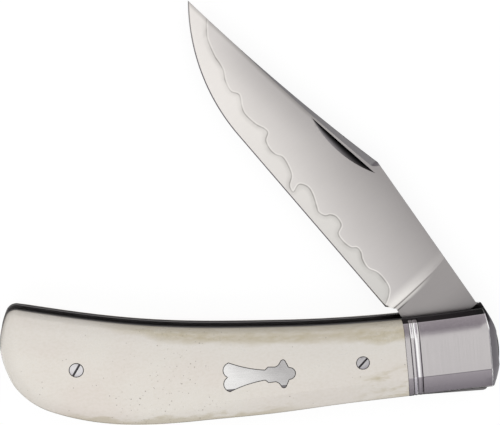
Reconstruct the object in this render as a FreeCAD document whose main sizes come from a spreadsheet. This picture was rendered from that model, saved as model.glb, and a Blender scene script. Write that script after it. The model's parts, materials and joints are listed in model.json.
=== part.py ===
"""Folding pocket knife with one clip-point blade, in millimetres.

The knife lies on its far side. X runs along the back of the handle towards the bolsters, Y from the
back towards the slot of the blade, and Z up out of the near scale. The pivot axis is at X = Y = 0.
"""
import FreeCAD
import Part

import math
import os

import Sketcher

SIZES = {
    # Stack, from the middle of the blade outwards
    "blade_thickness": 2.6,
    "side_play": 0.02,
    "washer_thickness": 0.2,
    "liner_thickness": 1.0,
    "scale_thickness": 3.5,
    # Side outline of the handle, seen along Z
    "back_drop": 8.17,
    "top_low": 7.7,
    "top_low_back": 6.9,
    "top_radius": 302.0,
    "butt_back": 78.9,
    "butt_rise": 10.8,
    "butt_radius": 14.2,
    "belly_radius": 74.0,
    "corner_radius": 2.2,
    "front_back": 9.5,
    "front_dip": 0.55,
    "front_radius": 17.1,
    # Rounded shoulders of the scales and bolsters
    "shoulder_width": 4.0,
    "shoulder_drop": 1.62,
    "shoulder_reach": 0.9,
    "crown_corner_radius": 4.6,
    # Bolsters
    "bolster_back": 11.8,
    "bolster_seam": 0.05,
    "first_ring": 0.98,
    "second_ring": 1.78,
    "third_ring": 2.86,
    "ring_width": 0.24,
    "ring_depth": 0.22,
    "bevel_inset": 1.9,
    "bevel_run": 2.2,
    "bevel_drop": 2.8,
    "bevel_tilt_angle": 1.8,
    "bolster_pin_radius": 0.8,
    "bolster_pin_seat": 1.5,
    "bolster_pin_back": 6.6,
    "upper_bolster_pin_rise": 3.2,
    "lower_bolster_pin_drop": 4.0,
    # Pivot
    "pivot_radius": 1.6,
    "pivot_seat": 1.7,
    "pivot_play": 0.03,
    "pin_fit": 0.01,
    "washer_radius": 3.8,
    "washer_play": 0.05,
    # Scale screws
    "screw_head_radius": 1.5,
    "screw_head_height": 1.1,
    "screw_head_gap": 0.06,
    "screw_shank_radius": 0.8,
    "screw_slot_width": 0.5,
    "screw_slot_depth": 0.5,
    "front_screw_back": 20.74,
    "front_screw_rise": 0.56,
    "front_slot_angle": 43.0,
    "rear_screw_inset": 14.8,
    "rear_screw_rise": 6.03,
    "rear_slot_angle": 54.0,
    # Shield
    "shield_length": 14.5,
    "shield_height": 6.2,
    "shield_thickness": 0.7,
    "shield_gap": 0.05,
    "shield_back": 41.75,
    "shield_rise": 0.5,
    "shield_turn_angle": -3.1,
    # Back spring
    "flex_back": 50.0,
    "spring_root_thickness": 3.9,
    "spring_neck_thickness": 2.0,
    "spring_neck_back": 12.0,
    "spring_pad_back": 5.0,
    "spring_nose_ahead": 4.8,
    "spring_nose_radius": 1.0,
    "spring_gap": 0.04,
    "spring_pin_radius": 0.9,
    "centre_pin_back": 50.0,
    "centre_pin_drop": 6.2,
    "rear_pin_inset": 19.6,
    "rear_pin_drop": 4.4,
    "well_radius": 50.0,
    "well_inset": 2.2,
    "well_foot_depth": 2.8,
    "lip_rise": 1.2,
    # Tang of the blade, from the pivot
    "tang_flat": 4.2,
    "tang_round": 1.0,
    "closed_tilt_angle": 3.5,
    "rest_opening_angle": 52.5,
    "kick_ahead": 4.0,
    "ricasso_ahead": 12.8,
    "ricasso_front": 5.28,
    "choil_ahead": 15.1,
    "choil_front": 4.95,
    "shoulder_ahead": 5.1,
    "spine_drop": 8.2,
    # Outline of the blade, from the pivot
    "heel_ahead": 16.5,
    "edge_front": 6.5,
    "belly_ahead": 63.5,
    "tip_ahead": 90.4,
    "tip_back": 3.28,
    "clip_ahead": 40.7,
    "clip_back": 11.3,
    "clip_radius": 434.0,
    # Grinds of the blade
    "plunge_ahead": 15.1,
    "plunge_radius": 2.2,
    "plunge_spine_back": 9.1,
    "edge_half_thickness": 0.15,
    "edge_facet_half": 0.02,
    "edge_facet_width": 0.3,
    "edge_facet_start": 16.2,
    "swedge_width": 1.5,
    "swedge_run_ahead": 72.0,
    "swedge_run_back": 5.85,
    "swedge_start_ahead": 39.6,
    "swedge_end_ahead": 69.0,
    "swedge_slope_angle": 20.0,
    # Nail nick
    "nick_rear_ahead": 39.66,
    "nick_rear_back": 9.54,
    "nick_front_ahead": 56.55,
    "nick_front_back": 7.02,
    "nick_width": 1.55,
    "nick_depth": 0.5,
    # How far the cutting shapes reach past what they cut
    "overrun": 3.0,
}

# Half outline of the shield from its tail notch to its nose. Each row has shares of the half length
# and half height, and the share of the half length for the radius of the bend to the next point.
SHIELD_SHARES = (
    (-0.905, 0.0, -0.23),
    (-0.85, 0.99, 3.3),
    (0.145, 0.36, None),
    (0.235, 0.6, 0.42),
    (0.465, 0.555, 0.27),
    (0.615, 0.945, -0.06),
    (0.72, 0.92, 0.6),
    (0.815, 0.46, None),
    (0.87, 0.35, -0.154),
)
HALF = 0.5
TURN_HALF_ANGLE = 180.0
UP = 1
DOWN = -1
NEAR = 1
FAR = -1


class Size:
    """A value from the sheet, or a sum of such values, with the expression that gives it."""

    def __init__(self, value, text):
        self.value = value
        self.text = text

    @staticmethod
    def of(other):
        return other if isinstance(other, Size) else Size(other, repr(other))

    def __add__(self, other):
        other = Size.of(other)
        return Size(self.value + other.value, f"({self.text} + {other.text})")

    def __sub__(self, other):
        other = Size.of(other)
        return Size(self.value - other.value, f"({self.text} - {other.text})")

    def __mul__(self, other):
        other = Size.of(other)
        return Size(self.value * other.value, f"({self.text} * {other.text})")

    __rmul__ = __mul__

    def __truediv__(self, other):
        other = Size.of(other)
        return Size(self.value / other.value, f"({self.text} / {other.text})")

    def __neg__(self):
        return Size(-self.value, f"(-1 * {self.text})")


def root(size):
    return Size(math.sqrt(size.value), f"sqrt({size.text})")


def sine(angle):
    return Size(math.sin(math.radians(angle.value)), f"sin({angle.text})")


def cosine(angle):
    return Size(math.cos(math.radians(angle.value)), f"cos({angle.text})")


def tangent(angle):
    return Size(math.tan(math.radians(angle.value)), f"tan({angle.text})")


class Sheet:
    """The spreadsheet with the driving sizes, read as attributes."""

    def __init__(self, doc, sizes):
        self.cells = doc.addObject("Spreadsheet::Sheet", "Sizes")
        self.sizes = sizes
        for row, (name, value) in enumerate(sizes.items(), start=1):
            self.cells.set(f"A{row}", name)
            self.cells.set(f"B{row}", str(value))
            self.cells.setAlias(f"B{row}", name)

    def __getattr__(self, name):
        return Size(self.sizes[name], f"Sizes.{name}")


doc = FreeCAD.newDocument("knife")
s = Sheet(doc, SIZES)
doc.recompute()
ZERO = Size(0.0, "0")

# Heights of the stack, from the plane that the knife lies on
half_gap = s.blade_thickness * HALF + s.side_play + s.washer_thickness
half_core = half_gap + s.liner_thickness
middle = half_core + s.scale_thickness

# Ends of the handle along X
front_end = s.front_radius - s.front_back
butt_end = -(s.butt_back + s.butt_radius)

# Turn of the blade at rest, from the open blade's place along X
rest_turn = TURN_HALF_ANGLE - SIZES["closed_tilt_angle"] - SIZES["rest_opening_angle"]
rest_angle = Size(rest_turn, f"({TURN_HALF_ANGLE} - Sizes.closed_tilt_angle - Sizes.rest_opening_angle)")

# Radius of the shoulder's arc, which runs level into the flat face
shoulder_radius = (s.shoulder_width * s.shoulder_width + s.shoulder_drop * s.shoulder_drop) / (
    2 * s.shoulder_drop
)


class Drawing:
    """One sketch on an origin plane of its body, with its points bound to the sheet."""

    def __init__(self, body, name, role="XY_Plane", offset=None):
        self.sketch = body.newObject("Sketcher::SketchObject", name)
        plane = next(f for f in body.Origin.OriginFeatures if f.Role == role)
        self.sketch.AttachmentSupport = [(plane, "")]
        self.sketch.MapMode = "FlatFace"
        if offset is not None:
            self.sketch.setExpression("AttachmentOffset.Base.z", offset.text)

    def add(self, geometry):
        return self.sketch.addGeometry(geometry)

    def hold(self, kind, *places):
        self.sketch.addConstraint(Sketcher.Constraint(kind, *places))

    def bind(self, size, kind, *places):
        index = self.sketch.addConstraint(Sketcher.Constraint(kind, *places, size.value))
        name = f"{kind.lower()}_{index}"
        self.sketch.renameConstraint(index, name)
        self.sketch.setExpression(f"Constraints.{name}", size.text)

    def pin(self, geometry, end, x, y):
        self.bind(x, "DistanceX", -1, 1, geometry, end)
        self.bind(y, "DistanceY", -1, 1, geometry, end)

    def circle(self, x, y, radius):
        centre = FreeCAD.Vector(x.value, y.value, 0)
        ring = self.add(Part.Circle(centre, FreeCAD.Vector(0, 0, 1), radius.value))
        self.pin(ring, 3, x, y)
        self.bind(radius, "Radius", ring)

    def run(self, corners, closed=True):
        """Draws lines and arcs through corners of (x, y, bend).

        The bend is None for a line to the next corner, or the radius of an arc that turns left, or
        with a minus sign right.
        """
        stretches = []
        count = len(corners)
        for index in range(count if closed else count - 1):
            x, y, bend = corners[index]
            next_x, next_y = corners[(index + 1) % count][:2]
            start = FreeCAD.Vector(x.value, y.value, 0)
            end = FreeCAD.Vector(next_x.value, next_y.value, 0)
            if bend is None:
                stretches.append((self.add(Part.LineSegment(start, end)), 1, 2))
                continue
            left = bend.value > 0
            arc = self.add(minor_arc(start, end, bend.value))
            self.bind(bend if left else -bend, "Radius", arc)
            stretches.append((arc, 1, 2) if left else (arc, 2, 1))
        for index, (piece, first, last) in enumerate(stretches):
            self.pin(piece, first, *corners[index][:2])
            if index:
                before, before_last = stretches[index - 1][0], stretches[index - 1][2]
                self.hold("Coincident", before, before_last, piece, first)
        piece, first, last = stretches[-1]
        if closed:
            self.hold("Coincident", piece, last, stretches[0][0], stretches[0][1])
        else:
            self.pin(piece, last, *corners[-1][:2])


def minor_arc(start, end, bend):
    """The short arc from start to end that turns left, or right for a bend below zero."""
    chord = end - start
    left = FreeCAD.Vector(-chord.y, chord.x, 0) / chord.Length
    reach = math.sqrt(bend * bend - chord.Length * chord.Length * HALF * HALF)
    centre = (start + end) * HALF + left * math.copysign(reach, bend)
    first, last = (start, end) if bend > 0 else (end, start)
    return circle_arc(centre, abs(bend), first, last)


def circle_arc(centre, radius, first, last):
    """The arc about a centre that runs left-hand from one point to another."""
    turns = [math.atan2(p.y - centre.y, p.x - centre.x) for p in (first, last)]
    return Part.ArcOfCircle(Part.Circle(centre, FreeCAD.Vector(0, 0, 1), radius), *turns)


def circles_meet(centre_a, radius_a, centre_b, radius_b):
    """Both points where two circles cross."""
    line = centre_b - centre_a
    along = (radius_a**2 - radius_b**2 + line.Length**2) / (2 * line.Length)
    across = math.sqrt(radius_a**2 - along**2)
    unit = line / line.Length
    side = FreeCAD.Vector(-unit.y, unit.x, 0)
    return [centre_a + unit * along + side * across * sign for sign in (UP, DOWN)]


class HandleLine:
    """Places on the handle's side outline, which start the sketches near their solved form."""

    def __init__(self, corner):
        self.corner = corner
        self.top = FreeCAD.Vector(-SIZES["top_low_back"], SIZES["top_low"] + SIZES["top_radius"], 0)
        self.butt = FreeCAD.Vector(-SIZES["butt_back"], SIZES["butt_rise"], 0)
        self.front = FreeCAD.Vector(-SIZES["front_back"], -SIZES["front_dip"], 0)
        top_radius, butt_radius = SIZES["top_radius"], SIZES["butt_radius"]
        front_radius, belly_radius = SIZES["front_radius"], SIZES["belly_radius"]
        back = -SIZES["back_drop"]
        rounds = circles_meet(self.top, top_radius + corner.value, self.butt, butt_radius - corner.value)
        self.round = min(rounds, key=lambda p: p.x)
        slide = belly_radius - butt_radius
        rise = back + belly_radius - self.butt.y
        self.belly = FreeCAD.Vector(self.butt.x + math.sqrt(slide**2 - rise**2), back + belly_radius, 0)
        self.top_end = self.top + (self.round - self.top).normalize() * top_radius
        self.butt_top = self.butt + (self.round - self.butt).normalize() * butt_radius
        self.butt_low = self.butt + (self.butt - self.belly).normalize() * butt_radius
        self.back_end = FreeCAD.Vector(self.belly.x, back, 0)
        reach = math.sqrt(front_radius**2 - (back - self.front.y) ** 2)
        self.front_low = FreeCAD.Vector(self.front.x + reach, back, 0)
        self.front_top = max(
            circles_meet(self.top, top_radius, self.front, front_radius), key=lambda p: p.x
        )

    def top_at(self, x):
        return self.top.y - math.sqrt(SIZES["top_radius"] ** 2 - (x - self.top.x) ** 2)


def draw_butt(drawing, line):
    """Draws the belly and the round of the butt, and gives their geometry numbers."""
    butt = drawing.add(circle_arc(line.butt, SIZES["butt_radius"], line.butt_top, line.butt_low))
    belly = drawing.add(circle_arc(line.belly, SIZES["belly_radius"], line.butt_low, line.back_end))
    drawing.hold("Tangent", butt, 2, belly, 1)
    drawing.bind(s.butt_radius, "Radius", butt)
    drawing.bind(s.belly_radius, "Radius", belly)
    drawing.pin(butt, 3, -s.butt_back, s.butt_rise)
    return butt, belly


def draw_handle(drawing, corner, closed=True):
    """Draws the handle's side outline, or the open path round it that the shoulder follows."""
    line = HandleLine(corner)
    ahead = front_end + s.overrun
    low, high = line.front_low, line.front_top
    if not closed:
        low = FreeCAD.Vector(ahead.value, line.front_low.y, 0)
        high = FreeCAD.Vector(ahead.value, line.top_at(ahead.value), 0)
    top = drawing.add(circle_arc(line.top, SIZES["top_radius"], line.top_end, high))
    bend = drawing.add(circle_arc(line.round, corner.value, line.top_end, line.butt_top))
    butt, belly = draw_butt(drawing, line)
    back = drawing.add(Part.LineSegment(line.back_end, low))
    drawing.hold("Tangent", top, 1, bend, 1)
    drawing.hold("Tangent", bend, 2, butt, 1)
    drawing.hold("Tangent", belly, 2, back, 1)
    drawing.hold("Horizontal", back)
    drawing.bind(s.top_radius, "Radius", top)
    drawing.bind(corner, "Radius", bend)
    drawing.pin(top, 3, -s.top_low_back, s.top_low + s.top_radius)
    drawing.bind(-s.back_drop, "DistanceY", -1, 1, back, 2)
    if closed:
        front = drawing.add(circle_arc(line.front, SIZES["front_radius"], low, high))
        drawing.hold("Coincident", back, 2, front, 1)
        drawing.hold("Coincident", front, 2, top, 2)
        drawing.bind(s.front_radius, "Radius", front)
        drawing.pin(front, 3, -s.front_back, -s.front_dip)
    else:
        drawing.bind(ahead, "DistanceX", -1, 1, back, 2)
        drawing.bind(ahead, "DistanceX", -1, 1, top, 2)


def new_body(label):
    body = doc.addObject("PartDesign::Body", label)
    body.Label = label
    return body


def place(piece, x, y, z, turn=None):
    """Binds a piece's place, and its turn about Z."""
    for axis, size in zip("xyz", (x, y, z)):
        piece.setExpression(f"Placement.Base.{axis}", size.text)
    if turn is not None:
        piece.Placement.Rotation = FreeCAD.Rotation(FreeCAD.Vector(0, 0, 1), turn.value)
        piece.setExpression("Placement.Rotation.Angle", turn.text)


def pad(body, drawing, length, side=UP):
    feature = body.newObject("PartDesign::Pad", "pad")
    feature.Profile = drawing.sketch
    feature.setExpression("Length", length.text)
    feature.Reversed = side < 0
    doc.recompute()
    return feature


def must_cut(body, before, name):
    doc.recompute()
    if not body.Shape.Volume < before:
        raise RuntimeError(f"{name} cuts nothing from {body.Label}")


def pocket(body, drawing, length, side=DOWN):
    """Cuts a drawing's shape out of a body, along or against the drawing's normal."""
    before = body.Shape.Volume
    feature = body.newObject("PartDesign::Pocket", "pocket")
    feature.Profile = drawing.sketch
    feature.setExpression("Length", length.text)
    feature.Reversed = side > 0
    must_cut(body, before, drawing.sketch.Label)


def sweep_cut(body, profile, path, edge_count):
    """Cuts a profile out of a body along a path."""
    before = body.Shape.Volume
    feature = body.newObject("PartDesign::SubtractivePipe", "sweep")
    feature.Profile = profile.sketch
    feature.Spine = (path.sketch, [f"Edge{n}" for n in range(1, edge_count + 1)])
    must_cut(body, before, profile.sketch.Label)


def drill(body, name, holes, depth, side, start=ZERO):
    """Cuts round holes of (x, y, radius) from a height towards one side."""
    drawing = Drawing(body, name, offset=start)
    for x, y, radius in holes:
        drawing.circle(x, y, radius)
    pocket(body, drawing, depth, side)


def facing(corners, side):
    """Corners of a section with its heights and bends turned to the near or far side."""
    if side > 0:
        return corners
    return [(x, -y, bend if bend is None else -bend) for x, y, bend in corners]


def shoulder_at(across, lift):
    """Height of the shoulder's arc, made smaller by a lift, at a distance from its level end."""
    radius = shoulder_radius - lift
    return s.scale_thickness - shoulder_radius + root(radius * radius - across * across)


def crowned_slab(label, side):
    """A slab of the handle's outline with the rounded shoulder all round its outer face."""
    body = new_body(label)
    outline = Drawing(body, "outline")
    draw_handle(outline, s.corner_radius)
    pad(body, outline, s.scale_thickness, side)
    path = Drawing(body, "shoulder_path")
    draw_handle(path, s.crown_corner_radius, closed=False)
    profile = Drawing(body, "shoulder_profile", "YZ_Plane", front_end + s.overrun)
    inner = s.shoulder_width - s.back_drop
    outer = -(s.back_drop + s.shoulder_reach)
    above = s.scale_thickness + s.overrun
    corners = [
        (inner, above, None),
        (outer, above, None),
        (outer, shoulder_at(s.shoulder_width + s.shoulder_reach, ZERO), -shoulder_radius),
        (inner, s.scale_thickness, None),
    ]
    profile.run(facing(corners, side))
    sweep_cut(body, profile, path, edge_count=5)
    place(body, ZERO, ZERO, middle + side * half_core)
    return body


def slab_end(body, name, from_x, to_x):
    """A rectangle across the slab between two places along it."""
    drawing = Drawing(body, name)
    low = -(s.back_drop + s.overrun)
    high = s.butt_rise + s.butt_radius + s.overrun
    drawing.run([(from_x, low, None), (to_x, low, None), (to_x, high, None), (from_x, high, None)])
    return drawing


def build_liner(label, side):
    body = new_body(label)
    outline = Drawing(body, "outline")
    draw_handle(outline, s.corner_radius)
    pad(body, outline, s.liner_thickness, side)
    holes = [(ZERO, ZERO, s.pivot_radius + s.pin_fit)]
    holes += [(x, y, s.spring_pin_radius + s.pin_fit) for x, y in spring_pins]
    holes += [(x, y, s.bolster_pin_radius + s.pin_fit) for x, y in bolster_pins]
    holes += [(x, y, s.screw_shank_radius + s.pin_fit) for x, y, _ in scale_screws]
    drill(body, "holes", holes, s.liner_thickness, side)
    place(body, ZERO, ZERO, middle + side * half_gap)
    return body


def build_scale(label, side):
    body = crowned_slab(label, side)
    ahead = front_end + s.overrun
    front = slab_end(body, "bolster_end", -(s.bolster_back + s.bolster_seam), ahead)
    pocket(body, front, s.scale_thickness, side)
    shanks = [(x, y, s.screw_shank_radius + s.pin_fit) for x, y, _ in scale_screws]
    drill(body, "shank_holes", shanks, s.scale_thickness, side)
    heads = [(x, y, s.screw_head_radius + s.screw_head_gap) for x, y, _ in scale_screws]
    drill(body, "head_seats", heads, s.screw_head_height, -side, side * s.scale_thickness)
    if side == NEAR:
        seat = Drawing(body, "shield_seat", offset=s.scale_thickness)
        draw_shield(seat, s.shield_gap, s.shield_turn_angle, -s.shield_back, s.shield_rise)
        pocket(body, seat, s.shield_thickness)
    return body


def build_bolster(label, side):
    body = crowned_slab(label, side)
    for ring in (s.first_ring, s.second_ring, s.third_ring):
        cut_ring(body, ring, side)
    rear = slab_end(body, "scale_end", butt_end - s.overrun, -s.bolster_back)
    pocket(body, rear, s.scale_thickness, side)
    bevel = Drawing(body, "front_bevel", "XZ_Plane", s.back_drop + s.overrun)
    turn = FreeCAD.Rotation(FreeCAD.Vector(0, 1, 0), SIZES["bevel_tilt_angle"])
    bevel.sketch.AttachmentOffset = FreeCAD.Placement(FreeCAD.Vector(), turn)
    bevel.sketch.setExpression("AttachmentOffset.Rotation.Angle", s.bevel_tilt_angle.text)
    top = s.scale_thickness
    start = front_end - s.bevel_inset
    corners = [
        (start - s.bevel_run, top + s.bevel_drop, None),
        (start + s.bevel_run * 2, top - s.bevel_drop * 2, None),
        (start + s.bevel_run * 2, top + s.bevel_drop, None),
    ]
    bevel.run(facing(corners, side))
    pocket(body, bevel, s.back_drop + s.top_low + s.overrun * 2, DOWN)
    drill(body, "pivot_seat", [(ZERO, ZERO, s.pivot_radius + s.pin_fit)], s.pivot_seat, side)
    seats = [(x, y, s.bolster_pin_radius + s.pin_fit) for x, y in bolster_pins]
    drill(body, "pin_seats", seats, s.bolster_pin_seat, side)
    return body


def cut_ring(body, ring, side):
    """Cuts one turned groove that follows the bolster's rounded section."""
    drawing = Drawing(body, "ring", "YZ_Plane", ring - s.bolster_back)
    reach = s.shoulder_width + s.shoulder_reach * HALF
    floor = s.scale_thickness - s.ring_depth
    bend = shoulder_radius - s.ring_depth
    low, high = s.shoulder_width - s.back_drop, s.top_low - s.shoulder_width
    edge = shoulder_at(reach, s.ring_depth)
    above = s.scale_thickness + s.overrun
    corners = [
        (low - reach, above, None),
        (low - reach, edge, -bend),
        (low, floor, None),
        (high, floor, -bend),
        (high + reach, edge, None),
        (high + reach, above, None),
    ]
    drawing.run(facing(corners, side))
    pocket(body, drawing, s.ring_width, UP)


def draw_shield(drawing, grow, turn, x, y):
    """Draws the shield's outline, grown by a gap, turned and moved to its place."""
    half_length = s.shield_length * HALF + grow
    half_height = s.shield_height * HALF + grow
    upper = [(half_length * a, half_height * b, bend) for a, b, bend in SHIELD_SHARES]
    lower = [(a, -b) for a, b, _ in upper[:0:-1]]
    bends = [bend for _, _, bend in upper]
    places = [(a, b) for a, b, _ in upper] + lower
    bends += bends[-2::-1]
    corners = []
    for (a, b), bend in zip(places, bends):
        along = x + cosine(turn) * a - sine(turn) * b
        rise = y + sine(turn) * a + cosine(turn) * b
        corners.append((along, rise, bend if bend is None else half_length * bend))
    drawing.run(corners)


def build_shield():
    body = new_body("shield")
    outline = Drawing(body, "outline")
    draw_shield(outline, ZERO, s.shield_turn_angle, ZERO, ZERO)
    pad(body, outline, s.shield_thickness)
    place(body, -s.shield_back, s.shield_rise, middle * 2 - s.shield_thickness)
    return body


def build_screw(label, x, y, slot_angle, side):
    """A slotted screw with its head towards the outside."""
    body = new_body(label)
    head = Drawing(body, "head")
    head.circle(ZERO, ZERO, s.screw_head_radius)
    pad(body, head, s.screw_head_height, -side)
    shank = Drawing(body, "shank")
    shank.circle(ZERO, ZERO, s.screw_shank_radius)
    pad(body, shank, s.scale_thickness + s.liner_thickness, -side)
    slot = Drawing(body, "slot")
    half_width = s.screw_slot_width * HALF
    reach = s.screw_head_radius * 2
    slot.run(
        [
            (-reach, -half_width, None),
            (reach, -half_width, None),
            (reach, half_width, None),
            (-reach, half_width, None),
        ]
    )
    pocket(body, slot, s.screw_slot_depth, -side)
    place(body, x, y, middle + side * middle, slot_angle)
    return body


def build_pin(label, x, y, radius, length, z):
    pin = doc.addObject("Part::Cylinder", label)
    pin.Label = label
    pin.setExpression("Radius", radius.text)
    pin.setExpression("Height", length.text)
    place(pin, x, y, z)
    return pin


def build_washer(label, side):
    body = new_body(label)
    ring = Drawing(body, "ring")
    ring.circle(ZERO, ZERO, s.washer_radius)
    ring.circle(ZERO, ZERO, s.pivot_radius + s.washer_play)
    pad(body, ring, s.washer_thickness, side)
    place(body, ZERO, ZERO, middle + side * (half_gap - s.washer_thickness))
    return body


def build_spring():
    """The back spring, with its arm bent down by the corner of the tang."""
    body = new_body("back_spring")
    drawing = Drawing(body, "side", offset=-half_gap)
    back = -s.back_drop
    inner = s.tang_flat - s.tang_round
    tilt = s.closed_tilt_angle
    corner_x, corner_y = -inner, inner * (Size.of(1) - sine(tilt)) / cosine(tilt)
    touch_x = corner_x * cosine(rest_angle) - corner_y * sine(rest_angle)
    touch_y = corner_x * sine(rest_angle) + corner_y * cosine(rest_angle) - s.tang_round
    lift = s.spring_gap - touch_y - s.tang_flat
    arm = s.flex_back + touch_x

    def bent(x):
        """How far the arm is bent down at a place along it."""
        share = (s.flex_back + x) / arm
        return lift * share * share

    nose = s.spring_nose_ahead
    low = back - bent(nose)
    round_x = nose - s.spring_nose_radius
    sag = bent(nose)
    reach = s.flex_back + nose
    bend = (reach * reach + sag * sag) / (2 * sag)
    round_low = back - bend + root(bend * bend - (s.flex_back + round_x) * (s.flex_back + round_x))
    line = HandleLine(s.corner_radius)
    butt, belly = draw_butt(drawing, line)
    well_end = butt_end + s.well_inset
    lip = s.butt_rise + s.lip_rise
    corners = [
        (-s.flex_back, back, -bend),
        (round_x, round_low, s.spring_nose_radius),
        (nose, low + s.spring_nose_radius, None),
        (nose, -(s.tang_flat + bent(nose)), None),
        (-s.spring_pad_back, -(s.tang_flat + bent(-s.spring_pad_back)), None),
        (-s.spring_neck_back, back + s.spring_neck_thickness - bent(-s.spring_neck_back), None),
        (-s.flex_back, back + s.spring_root_thickness, -s.well_radius),
        (well_end, s.butt_rise - s.well_foot_depth, None),
        (well_end, lip, None),
    ]
    first = drawing.sketch.GeometryCount
    drawing.run(corners, closed=False)
    flex = drawing.add(Part.LineSegment(line.back_end, FreeCAD.Vector(-SIZES["flex_back"], back.value, 0)))
    edge_x = line.butt.x - math.sqrt(SIZES["butt_radius"] ** 2 - SIZES["lip_rise"] ** 2)
    lip_start = FreeCAD.Vector(well_end.value, lip.value, 0)
    ledge = drawing.add(Part.LineSegment(lip_start, FreeCAD.Vector(edge_x, lip.value, 0)))
    drawing.hold("Tangent", belly, 2, flex, 1)
    drawing.hold("Coincident", flex, 2, first, 2)
    drawing.hold("Coincident", drawing.sketch.GeometryCount - 3, 2, ledge, 1)
    drawing.hold("Coincident", ledge, 2, butt, 1)
    drawing.hold("Horizontal", ledge)
    pad(body, drawing, half_gap * 2)
    holes = [(x, y, s.spring_pin_radius + s.pin_fit) for x, y in spring_pins]
    drill(body, "pin_holes", holes, half_gap * 2, UP, -half_gap)
    place(body, ZERO, ZERO, middle)
    return body


def blade_face(ahead, front):
    """Height of the ground face over the blade's middle, at a place on it."""
    depth = s.blade_thickness * HALF - s.edge_half_thickness
    slope = depth / (s.edge_front + s.plunge_spine_back)
    tip = s.tip_ahead + s.overrun
    taper = (tip - ahead) / (tip - s.plunge_ahead)
    return s.edge_half_thickness + taper * slope * (s.edge_front - front)


def grinding_tool(label, rear, front, fronts, height, entry):
    """A cutter along the blade from rear to front, whose floor has a given height at each place.

    It is lofted between sections at two distances towards the edge. The entry radius rounds it where
    it comes down into the steel.
    """
    body = new_body(label)
    above = s.blade_thickness + s.overrun
    sections = []
    for across in fronts:
        drawing = Drawing(body, "section", "XZ_Plane", -across)
        fall = (height(front, across) - height(rear, across)) / (front - rear)
        stretch = root(fall * fall + 1)
        centre = rear + entry
        centre_height = height(centre, across) + entry * stretch
        corners = [
            (rear, above, None),
            (rear, centre_height, entry),
            (centre + entry * fall / stretch, centre_height - entry / stretch, None),
            (front, height(front, across), None),
            (front, above, None),
        ]
        drawing.run(corners)
        sections.append(drawing.sketch)
    loft = body.newObject("PartDesign::AdditiveLoft", "loft")
    loft.Profile = sections[0]
    loft.Sections = [sections[1]]
    loft.Ruled = True
    doc.recompute()
    return body


def mirrored(body):
    other = doc.addObject("Part::Mirroring", f"{body.Label}_mirror")
    other.Source = body
    other.Normal = FreeCAD.Vector(0, 0, 1)
    doc.recompute()
    return other


def build_blank():
    """The blade's flat blank with its tang, its pivot hole and the facets of its edge."""
    body = new_body("blank")
    half = s.blade_thickness * HALF
    outline = Drawing(body, "outline", offset=-half)
    flat, inner, tilt = s.tang_flat, s.tang_flat - s.tang_round, s.closed_tilt_angle
    corner_y = inner * (Size.of(1) - sine(tilt)) / cosine(tilt)
    belly_reach = s.tip_ahead - s.belly_ahead
    belly_drop = s.edge_front + s.tip_back
    belly_bend = (belly_reach * belly_reach + belly_drop * belly_drop) / (2 * belly_drop)
    corners = [
        (s.tip_ahead, -s.tip_back, belly_bend),
        (s.belly_ahead, s.edge_front, None),
        (s.heel_ahead, s.edge_front, None),
        (s.choil_ahead, s.choil_front, None),
        (s.ricasso_ahead, s.ricasso_front, None),
        (s.kick_ahead, (flat + s.kick_ahead * sine(tilt)) / cosine(tilt), None),
        (-inner - s.tang_round * sine(tilt), corner_y + s.tang_round * cosine(tilt), s.tang_round),
        (-flat, corner_y, None),
        (-flat, -inner, s.tang_round),
        (-inner, -flat, None),
        (s.shoulder_ahead, -flat, None),
        (s.shoulder_ahead, -s.spine_drop, None),
        (s.clip_ahead, -s.clip_back, -s.clip_radius),
    ]
    outline.run(corners)
    pad(body, outline, s.blade_thickness)
    drill(body, "pivot_hole", [(ZERO, ZERO, s.pivot_radius + s.pivot_play)], s.blade_thickness, UP, -half)
    path = Drawing(body, "edge_path")
    path.run(
        [
            (s.edge_facet_start, s.edge_front, None),
            (s.belly_ahead, s.edge_front, -belly_bend),
            (s.tip_ahead, -s.tip_back, None),
        ],
        closed=False,
    )
    rise = blade_face(s.edge_facet_start, s.edge_front - s.edge_facet_width) - s.edge_facet_half
    slope = rise / s.edge_facet_width
    height = half + s.overrun * HALF
    inside = s.edge_front - (height - s.edge_facet_half) / slope
    outside = s.edge_front + s.edge_half_thickness
    for side in (NEAR, FAR):
        profile = Drawing(body, "facet", "YZ_Plane", s.edge_facet_start)
        corners = [
            (outside, s.edge_facet_half - slope * s.edge_half_thickness, None),
            (outside, height, None),
            (inside, height, None),
        ]
        profile.run(facing(corners, side))
        sweep_cut(body, profile, path, edge_count=2)
    return body


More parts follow.
